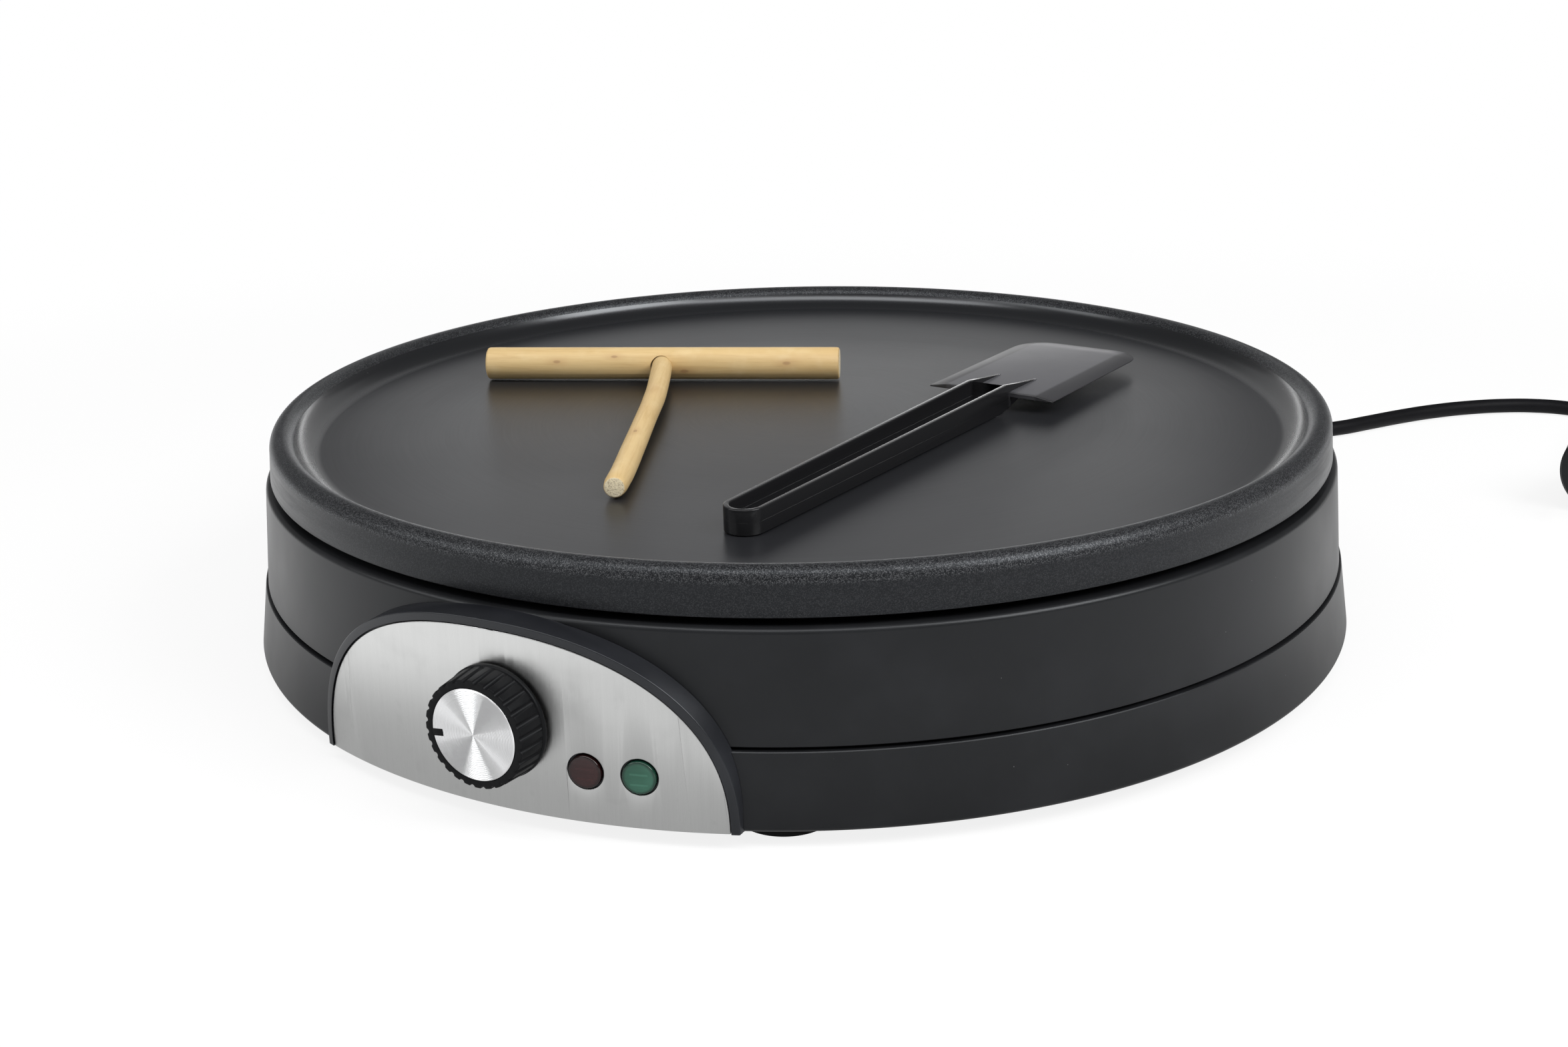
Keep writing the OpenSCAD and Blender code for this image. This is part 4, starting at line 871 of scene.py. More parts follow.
def cord_points():
    """The cord's way: out of the housing, over the table, round the coil and to the plug"""
    table = 3.72 * MM
    drop = [
        (0, 0, 0.018), (0, 0.0015, 0.018), (0, 0.003, 0.018), (0, 0.0098, 0.0166),
        (0.0004, 0.0178, 0.013), (0.0024, 0.0263, 0.0088), (0.007, 0.0348, 0.0054)]
    on_table = [
        (0.014, 0.0423), (0.026, 0.0488), (0.042, 0.0528), (0.060, 0.0548), (0.078, 0.0568),
        (0.095, 0.0603), (0.110, 0.0658), (0.124, 0.0743), (0.137, 0.0863), (0.1475, 0.1008),
        (0.160, 0.1183), (0.1725, 0.1333), (0.187, 0.1468), (0.202, 0.1568), (0.216, 0.1623),
        (0.230, 0.1636), (0.243, 0.160), (0.2508, 0.1516), (0.2536, 0.1416)]
    tail = [
        (0.2555, 0.1158, 0.012), (0.2565, 0.1078, 0.013), (0.259, 0.0978, 0.0148),
        (0.2615, 0.0878, 0.0172), (0.2628, 0.0788, 0.0189), (0.2628, 0.0753, 0.0189),
        (0.2628, 0.0728, 0.0189), (0.2628, 0.0698, 0.0189)]
    out, tail = [
        [Vector((x, RELIEF_END + y, z)) for x, y, z in part]
        for part in (drop + [(x, y, table) for x, y in on_table], tail)]
    return out + coil_points() + tail


def coil_points():
    """Three turns that grow narrower and climb over one another, with angles in degrees"""
    first, last, steps = 180, 1277, 49
    turns = []
    for i in range(steps):
        a = first + (last - first) * i / steps
        r = 50.9 - 7.4 * ease(a, 180, 300) - 7 * ease(a, 520, 600) + 3.5 * ease(a, 815, 860)
        r += 10.8 * ease(a, 1200, last)
        z = 3.6 + 6.2 * ease(a, 770, 830) + ease(a, 850, 885) - ease(a, 955, 990)
        z += 1.2 * ease(a, 1170, 1205) + ease(a, 1215, last)
        b = math.radians(a)
        turns.append(Vector((COIL_AT.x + r * MM * math.cos(b), COIL_AT.y + r * MM * math.sin(b), z * MM)))
    return turns


class CREPE_OT_cord(bpy.types.Operator):
    """Lays the mains cord, its coil and tie, the strain relief and the plug"""
    bl_idname = "crepe.cord"
    bl_label = "Cord and plug"

    def execute(self, context):
        s = context.scene.crepe_cord
        black = rubber("Cord rubber", s.tint, 0.5)
        body = moulded("Plug plastic", s.tint, 0.45, 0.5, 0.01)
        pin = metal("Nickel plate", (0.62, 0.6, 0.56), 0.22)
        points = cord_points()
        line = bpy.data.curves.new("mains_cord", "CURVE")
        line.dimensions = "3D"
        line.resolution_u = 6
        line.bevel_depth = s.cord_d / 2
        line.bevel_resolution = 5
        line.use_fill_caps = True
        spline = line.splines.new("BEZIER")
        spline.bezier_points.add(len(points) - 1)
        for knot, point in zip(spline.bezier_points, points):
            knot.co = point
            knot.handle_left_type = knot.handle_right_type = "AUTO"
        cord = bpy.data.objects.new("mains_cord", line)
        context.collection.objects.link(cord)
        mount(cord, "base", "cord", black, "power_cord", "cord_coil", "cord_tail")
        tie = self.tie(body)
        plug = self.plug(s, body, points[-1])
        self.relief(s, black)
        for node in ("plug_pins", "plug_contacts"):
            repaint(node, pin)
        repaint("cord_entry", black)
        return {"FINISHED"}

    def tie(self, material):
        """A flat strap closed round the coil"""
        strap = standing("coil_tie", rounded(8.2 * MM, 7.1 * MM, 3 * MM), 0, 4 * MM)
        cut(strap, standing("hole", rounded(7.3 * MM, 6.5 * MM, 2.3 * MM), -3 * MM, 12 * MM))
        round_edges(strap, 0.2, 50, 2)
        place(strap, shifted(*COIL_AT, 7.2 * MM) @ about_z(math.radians(40)) @ shifted(40 * MM, -2 * MM, 0))
        return mount(smooth(strap, 40), "base", "plug", material, "cord_tie")

    def plug(self, s, material, start):
        """A round two-pin plug: ribbed tail, waisted body and a flat face with a contact groove each side"""
        r, neck = s.plug_d / 2, s.cord_d / 2
        tail = 20 * MM
        face = tail + 40 * MM
        profile = near(0, 0, (0, -0.8)) + near(neck, 0, (0.8, -0.8))
        for i in range(5):
            rib_r, rib_at = neck + (1.3 + 0.33 * i) * MM, (1.2 + 3.3 * i) * MM
            profile += near(rib_r, rib_at, (0, 0), (0, 1.8), (-1, 2.2), (-1, 2.9))
        profile += near(0, tail, (8.6, -1.5), (9.2, 0))
        profile += near(r, tail, (-5, 7), (-4, 12), (-3.4, 24), (-0.8, 26.6), (0, 28.4))
        profile += near(r, face, (0, -0.8), (-0.8, 0)) + [(0, face)]
        plug = lathe("plug_moulding", profile, 96)
        corners = near(0, r, (-4, -3.6), (4, -3.6), (4, 3), (-4, 3))
        groove = lying("groove", corners, face - 11 * MM, 20 * MM)
        cut(plug, around(groove, 0, (0, 180)))
        notch = rod("grip", 2 * MM, tail + 13 * MM, tail + 25 * MM, 24)
        cut(plug, around(notch, r - 2.7 * MM, (-24, -8, 8, 24, 156, 172, 188, 204)))
        round_edges(plug, 0.3, 50, 2)
        place(plug, shifted(*start) @ about_x(QUARTER))
        return mount(smooth(plug), "base", "plug", material, "plug_body")

    def relief(self, s, material):
        """A tapered sleeve with rings, pushed into the back of the housing"""
        start, end = low("strain_relief").y, RELIEF_END
        bore = s.cord_d / 2 + 0.1 * MM
        wall_at = start + 7.9 * MM
        profile = [(bore, start)] + near(0, start, (8.5, 0), (8.5, 2), (6.4, 2))
        profile += near(0, wall_at, (6.4, 0), (8.6, 0), (9, 0.5), (9, 1.7), (8.5, 2.1), (6.5, 2.3))
        for i in range(4):
            ring_r, ring_at = (6.4 - 0.42 * i) * MM, wall_at + (3.0 + 2.9 * i) * MM
            profile += near(ring_r, ring_at, (0, 0), (-0.15, 1.7), (-1.1, 1.9), (-1.1, 2.7))
        profile += near(0, end, (4.9, -0.5), (4.6, 0)) + [(bore, end)]
        sleeve = outward(lathe("cord_sleeve", profile, 64))
        place(sleeve, shifted(0, 0, CORD_Z) @ about_x(-QUARTER))
        return mount(smooth(sleeve), "base", "foot", material, "strain_relief")


# ---------------------------------------------------------------- housings and plate

class CREPE_OT_housings(bpy.types.Operator):
    """Turns the two housings and cuts their window, slots and screw wells"""
    bl_idname = "crepe.housings"
    bl_label = "Housings"

    # The edges at the groove and round the deck's hole are broken by this much
    soft = 0.25 * MM

    def execute(self, context):
        s, panel = context.scene.crepe_housing, context.scene.crepe_panel
        black = moulded("Housing plastic", s.tint, s.gloss, 0.35, 0.004, 0.25)
        self.lower(s, panel, black)
        self.upper(s, panel, black)
        return {"FINISHED"}

    def lower(self, s, panel, material):
        floor_top, rim_z = BASE_Z + s.wall, BASE_Z + s.base_h
        top_r = BASE_R - s.base_lean
        profile = [(0, BASE_Z)] + arc(BASE_R - s.edge, BASE_Z + s.edge, s.edge, -90, 5, 6)
        profile += [(top_r + self.soft * 0.1, rim_z - self.soft), (top_r - self.soft, rim_z)]
        profile += [(top_r - s.wall, rim_z), (BASE_R - s.wall - 0.4 * MM, floor_top), (0, floor_top)]
        shell = lathe("lower_shell", profile, 360)
        split = rim_z + 6 * MM
        boss = rod("boss", 6 * MM, floor_top - MM, split, 40)
        shank = near(0, BASE_Z, (0, -1), (4.2, -1), (4.2, 6), (2.15, 6)) + near(0, split, (2.15, 1), (0, 1))
        well = lathe("well", shank, 32)
        cut(shell, around(boss, SCREW_R, SCREW_BEARINGS), "UNION")
        cut(shell, around(well, SCREW_R, SCREW_BEARINGS))
        vent_r, vents, first = 90 * MM, 24, 0.37
        slot = [(vent_r + x, y) for x, y in stadium(26 * MM, 2 * MM)]
        vent = lying("vent", slot, BASE_Z - MM, s.wall + 2 * MM)
        cut(shell, around(vent, 0, [360 / vents * i + first for i in range(vents)]))
        cut(shell, window(panel, s.wall + 0.4 * MM))
        exit_r = 6.5 * MM
        exit_hole = rod("exit", exit_r, INSIDE_R, OUTSIDE_R, 40)
        cut(shell, place(exit_hole, shifted(0, 0, CORD_Z) @ about_x(-QUARTER)))
        weld(shell, 0.005)
        return mount(smooth(shell), "base", "housing", material, "lower_housing")

    def upper(self, s, panel, material):
        start_z = BASE_Z + s.base_h + s.groove
        bottom_r = BASE_R - s.base_lean - s.step
        top_r = bottom_r - s.upper_lean
        under = DECK_TOP - s.wall
        tongue = BASE_R - s.base_lean - s.wall - 0.3 * MM
        hole = 149 * MM
        profile = [(hole, under), (hole, DECK_TOP - self.soft), (hole + self.soft, DECK_TOP)]
        profile += arc(top_r - s.edge, DECK_TOP - s.edge, s.edge, 90, 4, 6)
        profile += [(bottom_r, start_z + self.soft), (bottom_r - self.soft, start_z)]
        profile += near(tongue, start_z, (0, 0), (0, -3.5), (-2, -3.5), (-2, 4))
        profile += [(bottom_r - s.wall - 0.4 * MM, start_z + 4 * MM), (top_r - s.wall, under)]
        shell = lathe("upper_shell", profile, 360)
        split = BASE_Z + s.base_h + 6.2 * MM
        boss = lathe("boss", near(0, split, (2.2, 0), (5, 0)) + near(0, under, (5, 1), (2.2, 1)), 40)
        cut(shell, around(boss, SCREW_R, SCREW_BEARINGS), "UNION")
        cut(shell, window(panel, s.wall + 0.4 * MM))
        return mount(smooth(shell), "base", "housing", material, "upper_housing")


def arch(half_w, height, start_z):
    """The panel's arched outline on the front, as (x, z) points"""
    steps, power = 96, 2 / 2.25
    first = math.asin(max(start_z / height, 0) ** (1 / power))
    points = []
    for i in range(steps + 1):
        a = first + (math.pi - 2 * first) * i / steps
        along = half_w * math.copysign(abs(math.cos(a)) ** power, math.cos(a))
        up = height * abs(math.sin(a)) ** power
        points.append((BEZEL_R * math.sin(along / BEZEL_R), BASE_Z + up))
    return points


def arch_block(name, half_w, height, start_z=0.0):
    """A block with the arched outline, through the front wall"""
    return place(standing(name, arch(half_w, height, start_z), 0, 70 * MM), shifted(0, -220 * MM, 0))


def window(panel, start_z, gap=0.0):
    """What is cut out of the housings behind the panel"""
    lap = 9 * MM + gap
    return arch_block("window", panel.half_w + panel.face - lap, panel.height - lap, start_z)


def drum(name, r, steps=512):
    return rod(name, r, 0, 90 * MM, steps)


class CREPE_OT_plate(bpy.types.Operator):
    """Turns the cast cooking plate with its rolled rim and hollow underside"""
    bl_idname = "crepe.plate"
    bl_label = "Cooking plate"

    def execute(self, context):
        s = context.scene.crepe_plate
        flat_r, under = PLATE_R - s.rim_w, FLAT_Z - s.thick
        crest_r = PLATE_R - 0.7 * MM - s.crest
        slope = 2 * math.atan((CREST_Z - FLAT_Z) / (crest_r - flat_r))
        hollow = (crest_r - flat_r) / math.sin(slope) - s.crest
        profile = near(0, under, (0, 0), (90, 0)) + near(flat_r, under, (4.7, 0), (5, 0.3), (5, 2.1))
        profile += near(crest_r, CREST_Z, (-1.8, -4), (0.4, -4))
        profile += near(
            PLATE_R, PLATE_Z, (-3, 0.3), (-2.7, 0), (-0.5, 0), (-0.12, 0.13), (0, 0.5), (-0.42, 6))
        profile += arc(crest_r, CREST_Z - s.crest, s.crest, -1, 90 + math.degrees(slope), 30)
        steps = 16
        for i in range(steps - 1, -1, -1):
            a = slope * i / steps
            profile.append((flat_r + hollow * math.sin(a), FLAT_Z + hollow * (1 - math.cos(a))))
        profile += near(flat_r, FLAT_Z, (-3, 0), (-60, 0)) + near(0, FLAT_Z, (60, 0), (0, 0))
        plate = lathe("plate_casting", profile, 384)
        mount(smooth(plate, 35), "base", "plate", coated_plate(s), "cooking_plate")
        plate.data.materials.append(rolled_rim(s))
        steepest = crest_r - s.crest * math.sin(slope)
        for face in plate.data.polygons:
            if face.center.to_2d().length > steepest:
                face.material_index = 1
        return {"FINISHED"}


class CREPE_OT_feet(bpy.types.Operator):
    """Makes the ring of rubber feet under the lower housing"""
    bl_idname = "crepe.feet"
    bl_label = "Feet"

    def execute(self, context):
        r, count, first = 15 * MM, 6, -5
        profile = near(0, 0, (0, 0), (7.9, 0), (8.2, 0.9), (10.8, 0.9), (11.1, 0)) + near(r, 0, (-0.8, 0))
        profile += arc(r - 0.8 * MM, 0.8 * MM, 0.8 * MM, -60, 0, 3)
        profile += near(r, BASE_Z, (-0.2, -0.5), (-0.8, 0))
        profile += near(0, BASE_Z, (3, 0), (3, 3), (4.2, 3), (4.2, 4.2), (3.4, 5), (0, 5))
        foot = lathe("feet", profile, 64)
        feet = around(foot, BASE_R - 22 * MM, [360 / count * i + first for i in range(count)])
        mount(smooth(feet), "base", "foot", rubber("Foot rubber", (0.018, 0.018, 0.018)), "rubber_feet")
        return {"FINISHED"}


# ---------------------------------------------------------------- control panel

class CREPE_OT_panel(bpy.types.Operator):
    """Makes the dark frame on the front and the curved steel panel in it"""
    bl_idname = "crepe.panel"
    bl_label = "Control panel"

    def execute(self, context):
        s, lamps = context.scene.crepe_panel, context.scene.crepe_lamps
        self.frame(s, context.scene.crepe_housing, lamps)
        self.steel(s, lamps)
        return {"FINISHED"}

    def frame(self, s, housing, lamps):
        bezel = arch_block("panel_frame", s.half_w + s.face, s.height, 0.2 * MM)
        cut(bezel, drum("front", BEZEL_R), "INTERSECT")
        weld(bezel, 0.3)
        round_edges(bezel, 0.35, 50, 3)
        recess_r = PANEL_R - s.sheet - 0.15 * MM
        gap = 0.3 * MM
        rim_z = BASE_Z + housing.base_h
        top_r = BASE_R - housing.base_lean
        upper_r = top_r - housing.step
        core = lathe("core", [
            (0, 0), (BASE_R - housing.edge, BASE_Z - gap), (BASE_R + gap, BASE_Z + housing.edge),
            (top_r + gap, rim_z - gap), (upper_r + gap, rim_z), (upper_r + gap, rim_z + housing.groove),
            (upper_r - housing.upper_lean + gap, DECK_TOP - housing.edge),
            (upper_r - housing.upper_lean - housing.edge, DECK_TOP + gap), (0, DECK_TOP + gap)], 360)
        web = window(s, housing.wall + 0.9 * MM, gap)
        cut(web, drum("behind_web", recess_r - 3 * MM, 300))
        cut(core, web)
        cut(bezel, core)
        recess = arch_block("recess", s.half_w + s.slit, s.height - s.face + s.slit)
        cut(recess, drum("floor_of_recess", recess_r))
        cut(bezel, recess)
        cut(bezel, panel_holes(lamps, 9.9 * MM, lamps.lens_d + 0.3 * MM))
        dark = moulded("Frame plastic", s.frame, 0.32, 0.35, 0.005, gleam=0.4)
        mount(smooth(bezel), "base", "bezel", dark, "panel_bezel")

    def steel(self, s, lamps):
        sheet = arch_block("steel_panel", s.half_w, s.height - s.face, 0.3 * MM)
        cut(sheet, drum("front", PANEL_R), "INTERSECT")
        cut(sheet, drum("back", PANEL_R - s.sheet))
        cut(sheet, panel_holes(lamps, 10.2 * MM, lamps.lens_d + 1.1 * MM))
        weld(sheet, 0.12)
        round_edges(sheet, 0.3, 50, 3)
        mount(smooth(sheet), "base", "panel", brushed_steel(s), "control_panel")


def panel_holes(lamps, bush_d, lens_d):
    """The holes through the panel for the thermostat's bush and the two lamps"""
    bush = rod("bush_hole", bush_d / 2, INSIDE_R, OUTSIDE_R, 48)
    place(bush, shifted(KNOB_X, 0, KNOB_Z) @ about_x(QUARTER))
    lens = place(rod("lens_hole", lens_d / 2, INSIDE_R, OUTSIDE_R, 64), about_x(QUARTER))
    lenses = copies(lens, [shifted(0, 0, LENS_Z) @ about_z(at) for at in (lamps.red_at, lamps.green_at)])
    return join("panel_holes", [bush, lenses])


class CREPE_OT_lamps(bpy.types.Operator):
    """Makes the domed red and green lenses"""
    bl_idname = "crepe.lamps"
    bl_label = "Lamps"

    def execute(self, context):
        s = context.scene.crepe_lamps
        r, rim, front = s.lens_d / 2, PANEL_R - 0.3 * MM, PANEL_R + 0.72 * MM
        back = rim - 5.2 * MM
        # The second colour of each lens is the painted lit tint of its painted glow and rib highlights
        for look, bearing, tint, painted_lit_tint in (
                ("red", s.red_at, s.red, (0.035, 0.009, 0.009)),
                ("green", s.green_at, s.green, (0.04, 0.14, 0.094))):
            material = lens_plastic(look.capitalize() + " lens", tint, painted_lit_tint, bearing)
            profile = [(0, back)] + near(r, back, (1.2, 0), (1.2, 1.4), (0, 1.4))
            profile += arc(r - 0.4 * MM, front - 0.4 * MM, 0.4 * MM, 0, 84, 5)
            profile += [(r * 0.66, front + 0.1 * MM), (r * 0.33, front + 0.15 * MM), (0, front + 0.16 * MM)]
            lens = lathe(look + "_cover", profile, 64)
            place(lens, about_z(bearing) @ shifted(0, 0, middle(look + "_lens").z) @ about_x(QUARTER))
            mount(smooth(lens, 40), "base", look, material, look + "_lens")
        return {"FINISHED"}


# ---------------------------------------------------------------- knob

class CREPE_OT_knob(bpy.types.Operator):
    """Makes the fluted grip with its pointer, and the spun metal cap"""
    bl_idname = "crepe.knob"
    bl_label = "Knob"

    # How deep the cap's seat lies in the grip
    seat = 0.6 * MM

    def execute(self, context):
        s = context.scene.crepe_knob
        onto_axis = shifted(KNOB_X, 0, KNOB_Z) @ about_x(QUARTER)
        at_pointer = about_z(math.pi + s.pointer_turn)
        self.grip(s, -KNOB_FRONT, -high("knob_grip").y, onto_axis, at_pointer)
        self.cap(s, -KNOB_FRONT, onto_axis, at_pointer)
        return {"FINISHED"}

    def grip(self, s, front, back, onto_axis, at_pointer):
        ring_r, r, seat_r = s.ring_d / 2, s.grip_d / 2, s.cap_d / 2 + 0.15 * MM
        shoulder = back + s.ring_t
        profile = near(0, back, (13, 0)) + near(ring_r, back, (-0.5, 0), (0, 0.5))
        profile += near(ring_r, shoulder, (0, -0.7))
        profile += arc(ring_r - 0.7 * MM, shoulder - 0.7 * MM, 0.7 * MM, 0, 80, 4)
        profile += near(ring_r, shoulder, (-0.35, 0.3)) + near(r, front, (0, -0.35))
        profile += arc(r - 0.35 * MM, front - 0.35 * MM, 0.35 * MM, 15, 90, 4)
        profile += near(seat_r, front, (0.15, 0), (0, -0.15))
        profile += [(seat_r, front - self.seat), (0, front - self.seat)]
        profile += near(0, front, (0, -2.8), (13, -2.8))
        grip = lathe("knob_body", profile, s.flutes * 10)
        groove = near(0, shoulder, (0, 0.25), (0.7, 0.25), (0.9, 0.7)) + near(0, front, (0.9, 1), (0, 1))
        flute = lathe("flute", groove, 20)
        step = 2 * math.pi / s.flutes
        leaning = Matrix.Rotation(-math.atan2(1.1 * MM, front - shoulder), 4, "Y") @ shifted(0, 0, -front)
        cut(grip, copies(flute, [
            about_z(step * (i + 0.5)) @ shifted(r + 0.12 * MM, 0, front) @ leaning for i in range(s.flutes)]))
        weld(grip, 0.04)
        round_edges(grip, 0.13, 35, 2)
        inner, outer, half = seat_r - s.pointer_in + 0.1 * MM, seat_r + 0.3 * MM, s.pointer_w / 2
        corners = [(inner, -half), (outer, -half), (outer, half), (inner, half)]
        pointer = round_edges(lying("pointer", corners, front - MM, 0.97 * MM), 0.15, 50, 2)
        place(pointer, at_pointer)
        body = place(join("knob_body", [grip, pointer]), onto_axis)
        black = moulded("Knob plastic", s.grip, 0.42, 0.3, 0.006, gleam=0.12)
        mount(smooth(body), "knob", "grip", black, "knob_grip")

    def cap(self, s, front, onto_axis, at_pointer):
        """A disc with fine turned rings, and a notch for the pointer"""
        r, back, top = s.cap_d / 2, front - self.seat, front + 0.2 * MM
        rings, ring_depth = 64, 0.018 * MM
        profile = [(0, back), (r, back)] + near(r, top, (0, -0.2), (-0.2, 0))
        for i in range(rings):
            profile.append(((r - 0.3 * MM) * (1 - i / rings), top - (i % 2) * ring_depth))
        cap = lathe("metal_cap", profile + [(0, top)], 160)
        half = s.pointer_w / 2 + 0.12 * MM
        outer, inner = r + 2 * MM, r - s.pointer_in
        outline = [(outer, -half), (outer, half), (inner, half), (inner - 0.15 * MM, 0), (inner, -half)]
        cut(cap, place(lying("notch", outline, back - MM, 3 * MM), at_pointer))
        place(cap, onto_axis)
        mount(smooth(cap, 25), "knob", "cap", spun_metal(s), "knob_cap")


# ---------------------------------------------------------------- tools on the plate

class CREPE_OT_spreader(bpy.types.Operator):
    """Turns the crossbar and carves the bowed handle of the batter spreader"""
    bl_idname = "crepe.spreader"
    bl_label = "Batter spreader"

    # How far the handle bows sideways at each distance from the crossbar, in millimetres
    bow = ((0, 0), (22, 1.2), (49, 2.17), (82, 1.75), (112, 1.31), (140, 0.96), (157, 0.16))
    # Each knot's distance in millimetres, its bearing round the stick in degrees, and its size
    bar_knots = ((-41.3, -71, 1.1), (-18.4, -52, 1.0), (9.4, -106, 1.3), (49.8, -76, 1.2), (-64, 150, 0.9))
    stick_knots = ((52, 40, 1.5), (58, 70, 1.0), (104, 20, 1.2))

    def execute(self, context):
        s = context.scene.crepe_spreader
        drop = math.asin((s.bar_d - s.stick_d) / 2 / s.stick_len)
        on_bar = shifted(*s.at, FLAT_Z + REST_GAP + s.bar_d / 2) @ about_z(s.angle)
        on_stick = on_bar @ about_z(s.skew) @ about_x(QUARTER + drop)
        self.bar(s, on_bar, on_stick)
        self.stick(s, on_stick)
        return {"FINISHED"}

    def bar(self, s, on_bar, on_stick):
        r, half = s.bar_d / 2, s.bar_len / 2
        profile = [(0, -half)] + near(r, -half, (-0.9, 0), (-0.2, 0.35), (0, 1.1))
        profile += near(r, half, (0, -1), (-0.25, -0.3), (-0.8, 0)) + [(0, half)]
        bar = lathe("crossbar", profile, 96)
        place(bar, on_bar @ Matrix.Rotation(QUARTER, 4, "Y"))
        cut(bar, place(rod("hole", s.stick_d / 2 + 0.25 * MM, 2 * MM, 20 * MM, 48), on_stick))
        round_edges(bar, 0.25, 45, 2)
        heading = on_bar.to_3x3() @ Vector((1, 0, 0))
        wood = pale_wood("Crossbar wood", s, on_bar.translation, heading, UP, r, self.bar_knots)
        mount(smooth(bar), "spreader", "wood", wood, "spreader_bar")
        self.saw_ends(bar, end_grain(s), heading)

    def stick(self, s, on_stick):
        """Drawn out ring by ring along a bowed line, with small swells and a rounded, sawn end"""
        deselect()
        r = s.stick_d / 2
        bpy.ops.mesh.primitive_circle_add(vertices=40, radius=r, fill_type="NGON")
        stick = named("handle_stick")
        stations = 44
        start = 2.4 * MM

        def centre(t):
            along = start + (s.stick_len - start) * t
            return Vector((through(self.bow, along / MM) * MM, 0.3 * MM * math.sin(2 * math.pi * t), along))

        def swell(t):
            lump = 0.022 * math.sin(9 * t + 0.6) + 0.028 * math.exp(-((t - 0.33) / 0.05) ** 2)
            return 0.965 + lump - 0.10 * ease(t, 0.985, 1.0) ** 2

        edit(stick)
        bpy.ops.transform.translate(value=centre(0))
        for i in range(stations):
            before, now = i / stations, (i + 1) / stations
            bpy.ops.mesh.extrude_region_move(TRANSFORM_OT_translate={"value": centre(now) - centre(before)})
            ratio = swell(now) / swell(before)
            bpy.ops.transform.resize(value=(ratio, ratio, 1), center_override=centre(now))
        close_up()
        round_edges(stick, 0.5, 60, 3)
        place(stick, on_stick)
        heading = on_stick.to_3x3() @ UP
        up = (UP - heading * heading.z).normalized()
        wood = pale_wood("Handle wood", s, on_stick.translation, heading, up, r, self.stick_knots)
        mount(smooth(stick, 50), "spreader", "wood", wood, "spreader_handle")
        self.saw_ends(stick, bpy.data.materials["Sawn wood"], heading)

    def saw_ends(self, piece, material, heading):
        """Gives the sawn wood to the faces that look along the stick"""
        piece.data.materials.append(material)
        for face in piece.data.polygons:
            if abs(face.normal.dot(heading)) > 0.96:
                face.material_index = 1


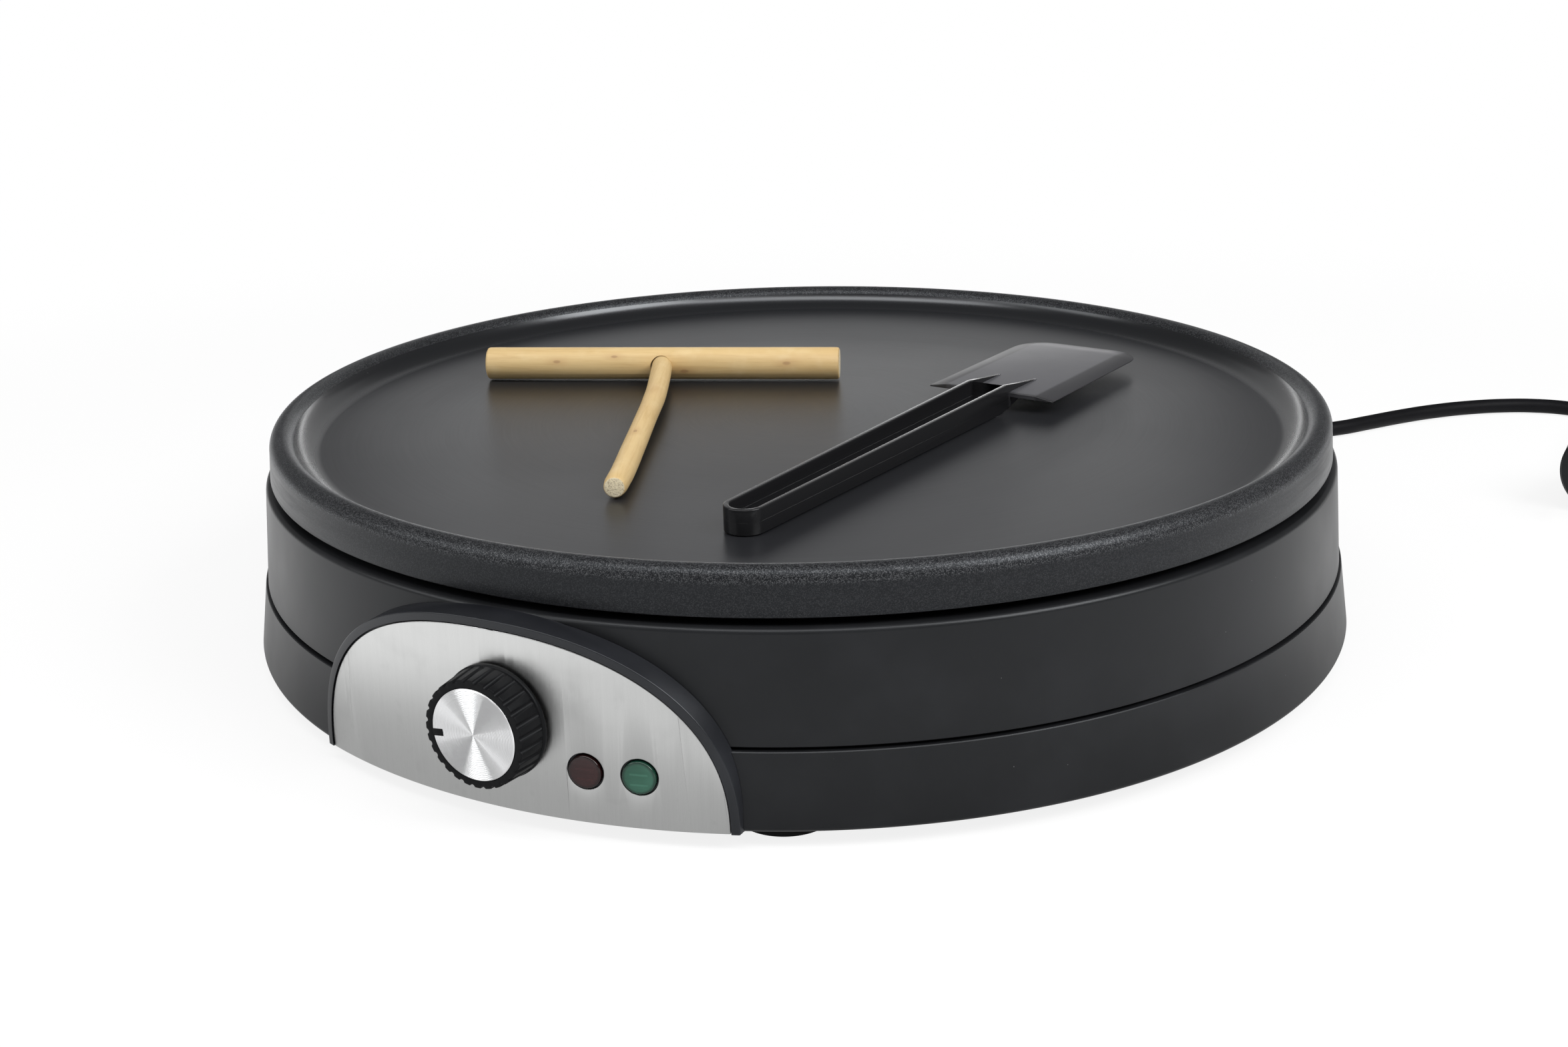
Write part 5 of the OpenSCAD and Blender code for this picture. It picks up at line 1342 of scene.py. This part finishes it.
class CREPE_OT_spatula(bpy.types.Operator):
    """Makes the spatula: channelled handle, two prongs and a thin blade with bevelled margins"""
    bl_idname = "crepe.spatula"
    bl_label = "Spatula"

    # The handle's half width at its round end and at the blade, and its wall
    end_r, blade_half, wall = 6.9 * MM, 8.3 * MM, 1.8 * MM
    # How high the blade's underside lies, and how far the prongs run over the blade
    blade_up, prong = 4.9 * MM, 22 * MM

    def execute(self, context):
        s = context.scene.crepe_spatula
        piece = join("turner", [self.blade(s), self.handle(s)])
        place(piece, shifted(*s.at, FLAT_Z + REST_GAP) @ about_z(s.angle))
        mount(smooth(piece, 35), "spatula", "nylon", self.plastic(s), "spatula")
        return {"FINISHED"}

    def outline(self, s, inset, end):
        """The handle from above, with its round end about the origin"""
        widen = (self.blade_half - self.end_r) * end / s.handle_len
        wide = self.end_r + widen - inset
        return arc(0, 0, self.end_r - inset, 270, 90, 24) + [(end, wide), (end, -wide)]

    def handle(self, s):
        tip = s.handle_len + self.prong
        blade_bottom, blade_top = self.blade_up, self.blade_up + s.blade_t
        back, clear = -9 * MM, 20 * MM
        rise = 1.6 * MM / s.handle_len
        side = [
            (back, 0), (back, 8.4 * MM + back * rise), (tip - 1.1 * self.prong, 10 * MM),
            (tip - 0.5 * MM, blade_top + 0.3 * MM), (tip, blade_top - 0.1 * MM),
            (tip - 4 * MM, blade_bottom + 0.1 * MM), (s.handle_len - 6 * MM, 0)]
        solid = lying("handle", self.outline(s, 0, tip), 0, 11 * MM)
        cut(solid, standing("side", side, -30 * MM, 60 * MM), "INTERSECT")
        cut(solid, lying("channel", self.outline(s, self.wall, s.handle_len - 2 * MM), self.wall, clear))
        fork = self.outline(s, self.wall, tip + 2 * MM)
        cut(solid, lying("fork", fork, blade_bottom + s.blade_t * 0.6, clear))
        cut(solid, rod("hang_hole", 3.2 * MM, -MM, 4 * MM, 32))
        return round_edges(solid, 0.32, 32, 3)

    def blade(self, s):
        """A thin sheet whose top face stands up from a margin on three sides"""
        far, half = s.handle_len + s.blade_len, s.blade_w / 2
        corner, margin, thin = 13 * MM, 7.5 * MM, 0.5 * MM
        near_end = s.handle_len - margin
        outline = [(near_end, half), (near_end, -half)]
        outline += arc(far - corner, -half + corner, corner, 270, 360, 10)
        outline += arc(far - corner, half - corner, corner, 0, 90, 10)
        sheet = lying("blade", outline, self.blade_up, thin)
        edit(sheet)
        bpy.ops.mesh.select_mode(type="FACE")
        bpy.ops.mesh.select_all(action="DESELECT")
        bpy.ops.object.mode_set(mode="OBJECT")
        for face in sheet.data.polygons:
            face.select = face.normal.z > 0.9
        bpy.ops.object.mode_set(mode="EDIT")
        bpy.ops.mesh.inset(thickness=margin, depth=0)
        bpy.ops.transform.translate(value=(0, 0, s.blade_t - thin))
        bpy.ops.mesh.select_all(action="SELECT")
        bpy.ops.mesh.bisect(
            plane_co=(s.handle_len, 0, 0), plane_no=(1, 0, 0), use_fill=True, clear_inner=True)
        close_up()
        return round_edges(sheet, 0.28, 40, 3)

    def plastic(self, s):
        """Black moulding: glossy on the handle, satin on the blade, with a fine parting line; the blade's
        lighter colour is a painted sheen, and darker bands along its side margins are painted shade
        """
        finish = Finish("Spatula plastic", s.tint, 0.2, Specular_IOR_Level=0.36)
        heading = Vector((math.cos(s.angle), math.sin(s.angle), 0))
        start = Vector((*s.at, 0))
        along = finish.along(heading, start)
        aside = abs(finish.x * heading.y - finish.y * heading.x - start.x * heading.y + start.y * heading.x)
        # Painted shade along the blade's bevelled side margins
        margin = aside.between(s.blade_w / 2 - 7.8 * MM, s.blade_w / 2 - 6.4 * MM)
        over_blade = FLAT_Z + self.blade_up + s.blade_t + 0.7 * MM
        satin_and_painted_sheen = along.between(s.handle_len - 2 * MM, s.handle_len + 3 * MM) * (finish.z < over_blade)
        mottled = finish.noise(14, 3, 0.55)
        fine = finish.noise(0.4, 2, 0.5)
        line = (abs(finish.z - (FLAT_Z + 4.6 * MM)) < 0.13 * MM) * (1 - satin_and_painted_sheen)
        finish.set(
            # The blade's lighter colour is a painted sheen, held back on the margins as painted shade
            Base_Color=finish.mix(satin_and_painted_sheen * (1 - margin * 0.65), s.tint, shade(s.tint, 7)),
            Roughness=0.17 + satin_and_painted_sheen * 0.18 + (mottled - 0.5) * 0.08)
        return finish.bump(fine * 0.08 + mottled * 0.3 - line * 0.4, 0.08, 0.7)


# ---------------------------------------------------------------- inside

class CREPE_OT_inside(bpy.types.Operator):
    """Gives the heater, the thermostat, the wiring and the screws their finishes"""
    bl_idname = "crepe.inside"
    bl_label = "Inner parts"

    def execute(self, context):
        brass = metal("Brass", (0.55, 0.43, 0.2), 0.3)
        screw = metal("Zinc plate", (0.5, 0.5, 0.5), 0.32)
        strap = metal("Strap steel", (0.45, 0.45, 0.45), 0.35, 0.4, (1, 8, 1))
        copper = metal("Copper", (0.55, 0.25, 0.13), 0.3, stain=(0.3, 0.16, 0.12))
        white = ceramic("Ceramic", (0.8, 0.77, 0.7))
        looks = {
            metal("Heat tinted steel", (0.16, 0.14, 0.12), 0.45, stain=(0.12, 0.09, 0.12)): "heating_element",
            metal("Rolled aluminium", (0.6, 0.6, 0.6), 0.34, 0.5, (1, 20, 1)): "heat_shield",
            metal("Fuse can", (0.6, 0.62, 0.58), 0.3): "thermal_fuse",
            brass: "element_terminals thermostat_terminals thermostat_nut thermostat_shaft earth_screw",
            screw: "housing_screws bezel_screws plate_screws clamp_screws bulb_clip_screw fuse_clip_screw "
                   "terminal_block_screws cord_clamp_screws",
            strap: "element_clamps bulb_clip fuse_clip knob_spring",
            copper: "sensor_bulb capillary_tube",
            white: "element_insulators plate_pillars lamp_sockets terminal_block cord_clamp",
            moulded("Thermostat case", (0.05, 0.05, 0.055), 0.5): "thermostat_body",
            rubber("Brown insulation", (0.15, 0.07, 0.035)): "live_lead switched_lead return_lead",
            rubber("Blue insulation", (0.05, 0.15, 0.4)): "neutral_lead",
            striped(): "earth_lead",
            rubber("Grey insulation", (0.25, 0.26, 0.28)): "lamp_leads",
            clear_glass("Lamp glass", (0.8, 0.75, 0.7)): "red_lamp green_lamp",
        }
        for material, nodes in looks.items():
            for node in nodes.split():
                repaint(node, material)
        return {"FINISHED"}


# ---------------------------------------------------------------- add-on

SETTINGS = {
    "crepe_stage": StageSettings,
    "crepe_cord": CordSettings,
    "crepe_housing": HousingSettings,
    "crepe_plate": PlateSettings,
    "crepe_panel": PanelSettings,
    "crepe_lamps": LampSettings,
    "crepe_knob": KnobSettings,
    "crepe_spreader": SpreaderSettings,
    "crepe_spatula": SpatulaSettings,
}
OPERATORS = (
    CREPE_OT_stage, CREPE_OT_cord, CREPE_OT_housings, CREPE_OT_feet, CREPE_OT_plate, CREPE_OT_panel,
    CREPE_OT_lamps, CREPE_OT_knob, CREPE_OT_spreader, CREPE_OT_spatula, CREPE_OT_inside)


class CREPE_PT_sidebar(bpy.types.Panel):
    """Lists the crepe maker's parts, each with a button that builds it"""
    bl_label = "Crepe Maker"
    bl_idname = "CREPE_PT_sidebar"
    bl_space_type = "VIEW_3D"
    bl_region_type = "UI"
    bl_category = "Crepe Maker"

    def draw(self, context):
        for operator in OPERATORS:
            self.layout.operator(operator.bl_idname)


CLASSES = (*SETTINGS.values(), *OPERATORS, CREPE_PT_sidebar)


def register():
    for each in CLASSES:
        bpy.utils.register_class(each)
    for name, settings in SETTINGS.items():
        setattr(bpy.types.Scene, name, bpy.props.PointerProperty(type=settings))


def unregister():
    for name in SETTINGS:
        delattr(bpy.types.Scene, name)
    for each in reversed(CLASSES):
        bpy.utils.unregister_class(each)


def main():
    register()
    for operator in OPERATORS:
        category, name = operator.bl_idname.split(".")
        getattr(getattr(bpy.ops, category), name)()


if __name__ == "__main__":
    main()
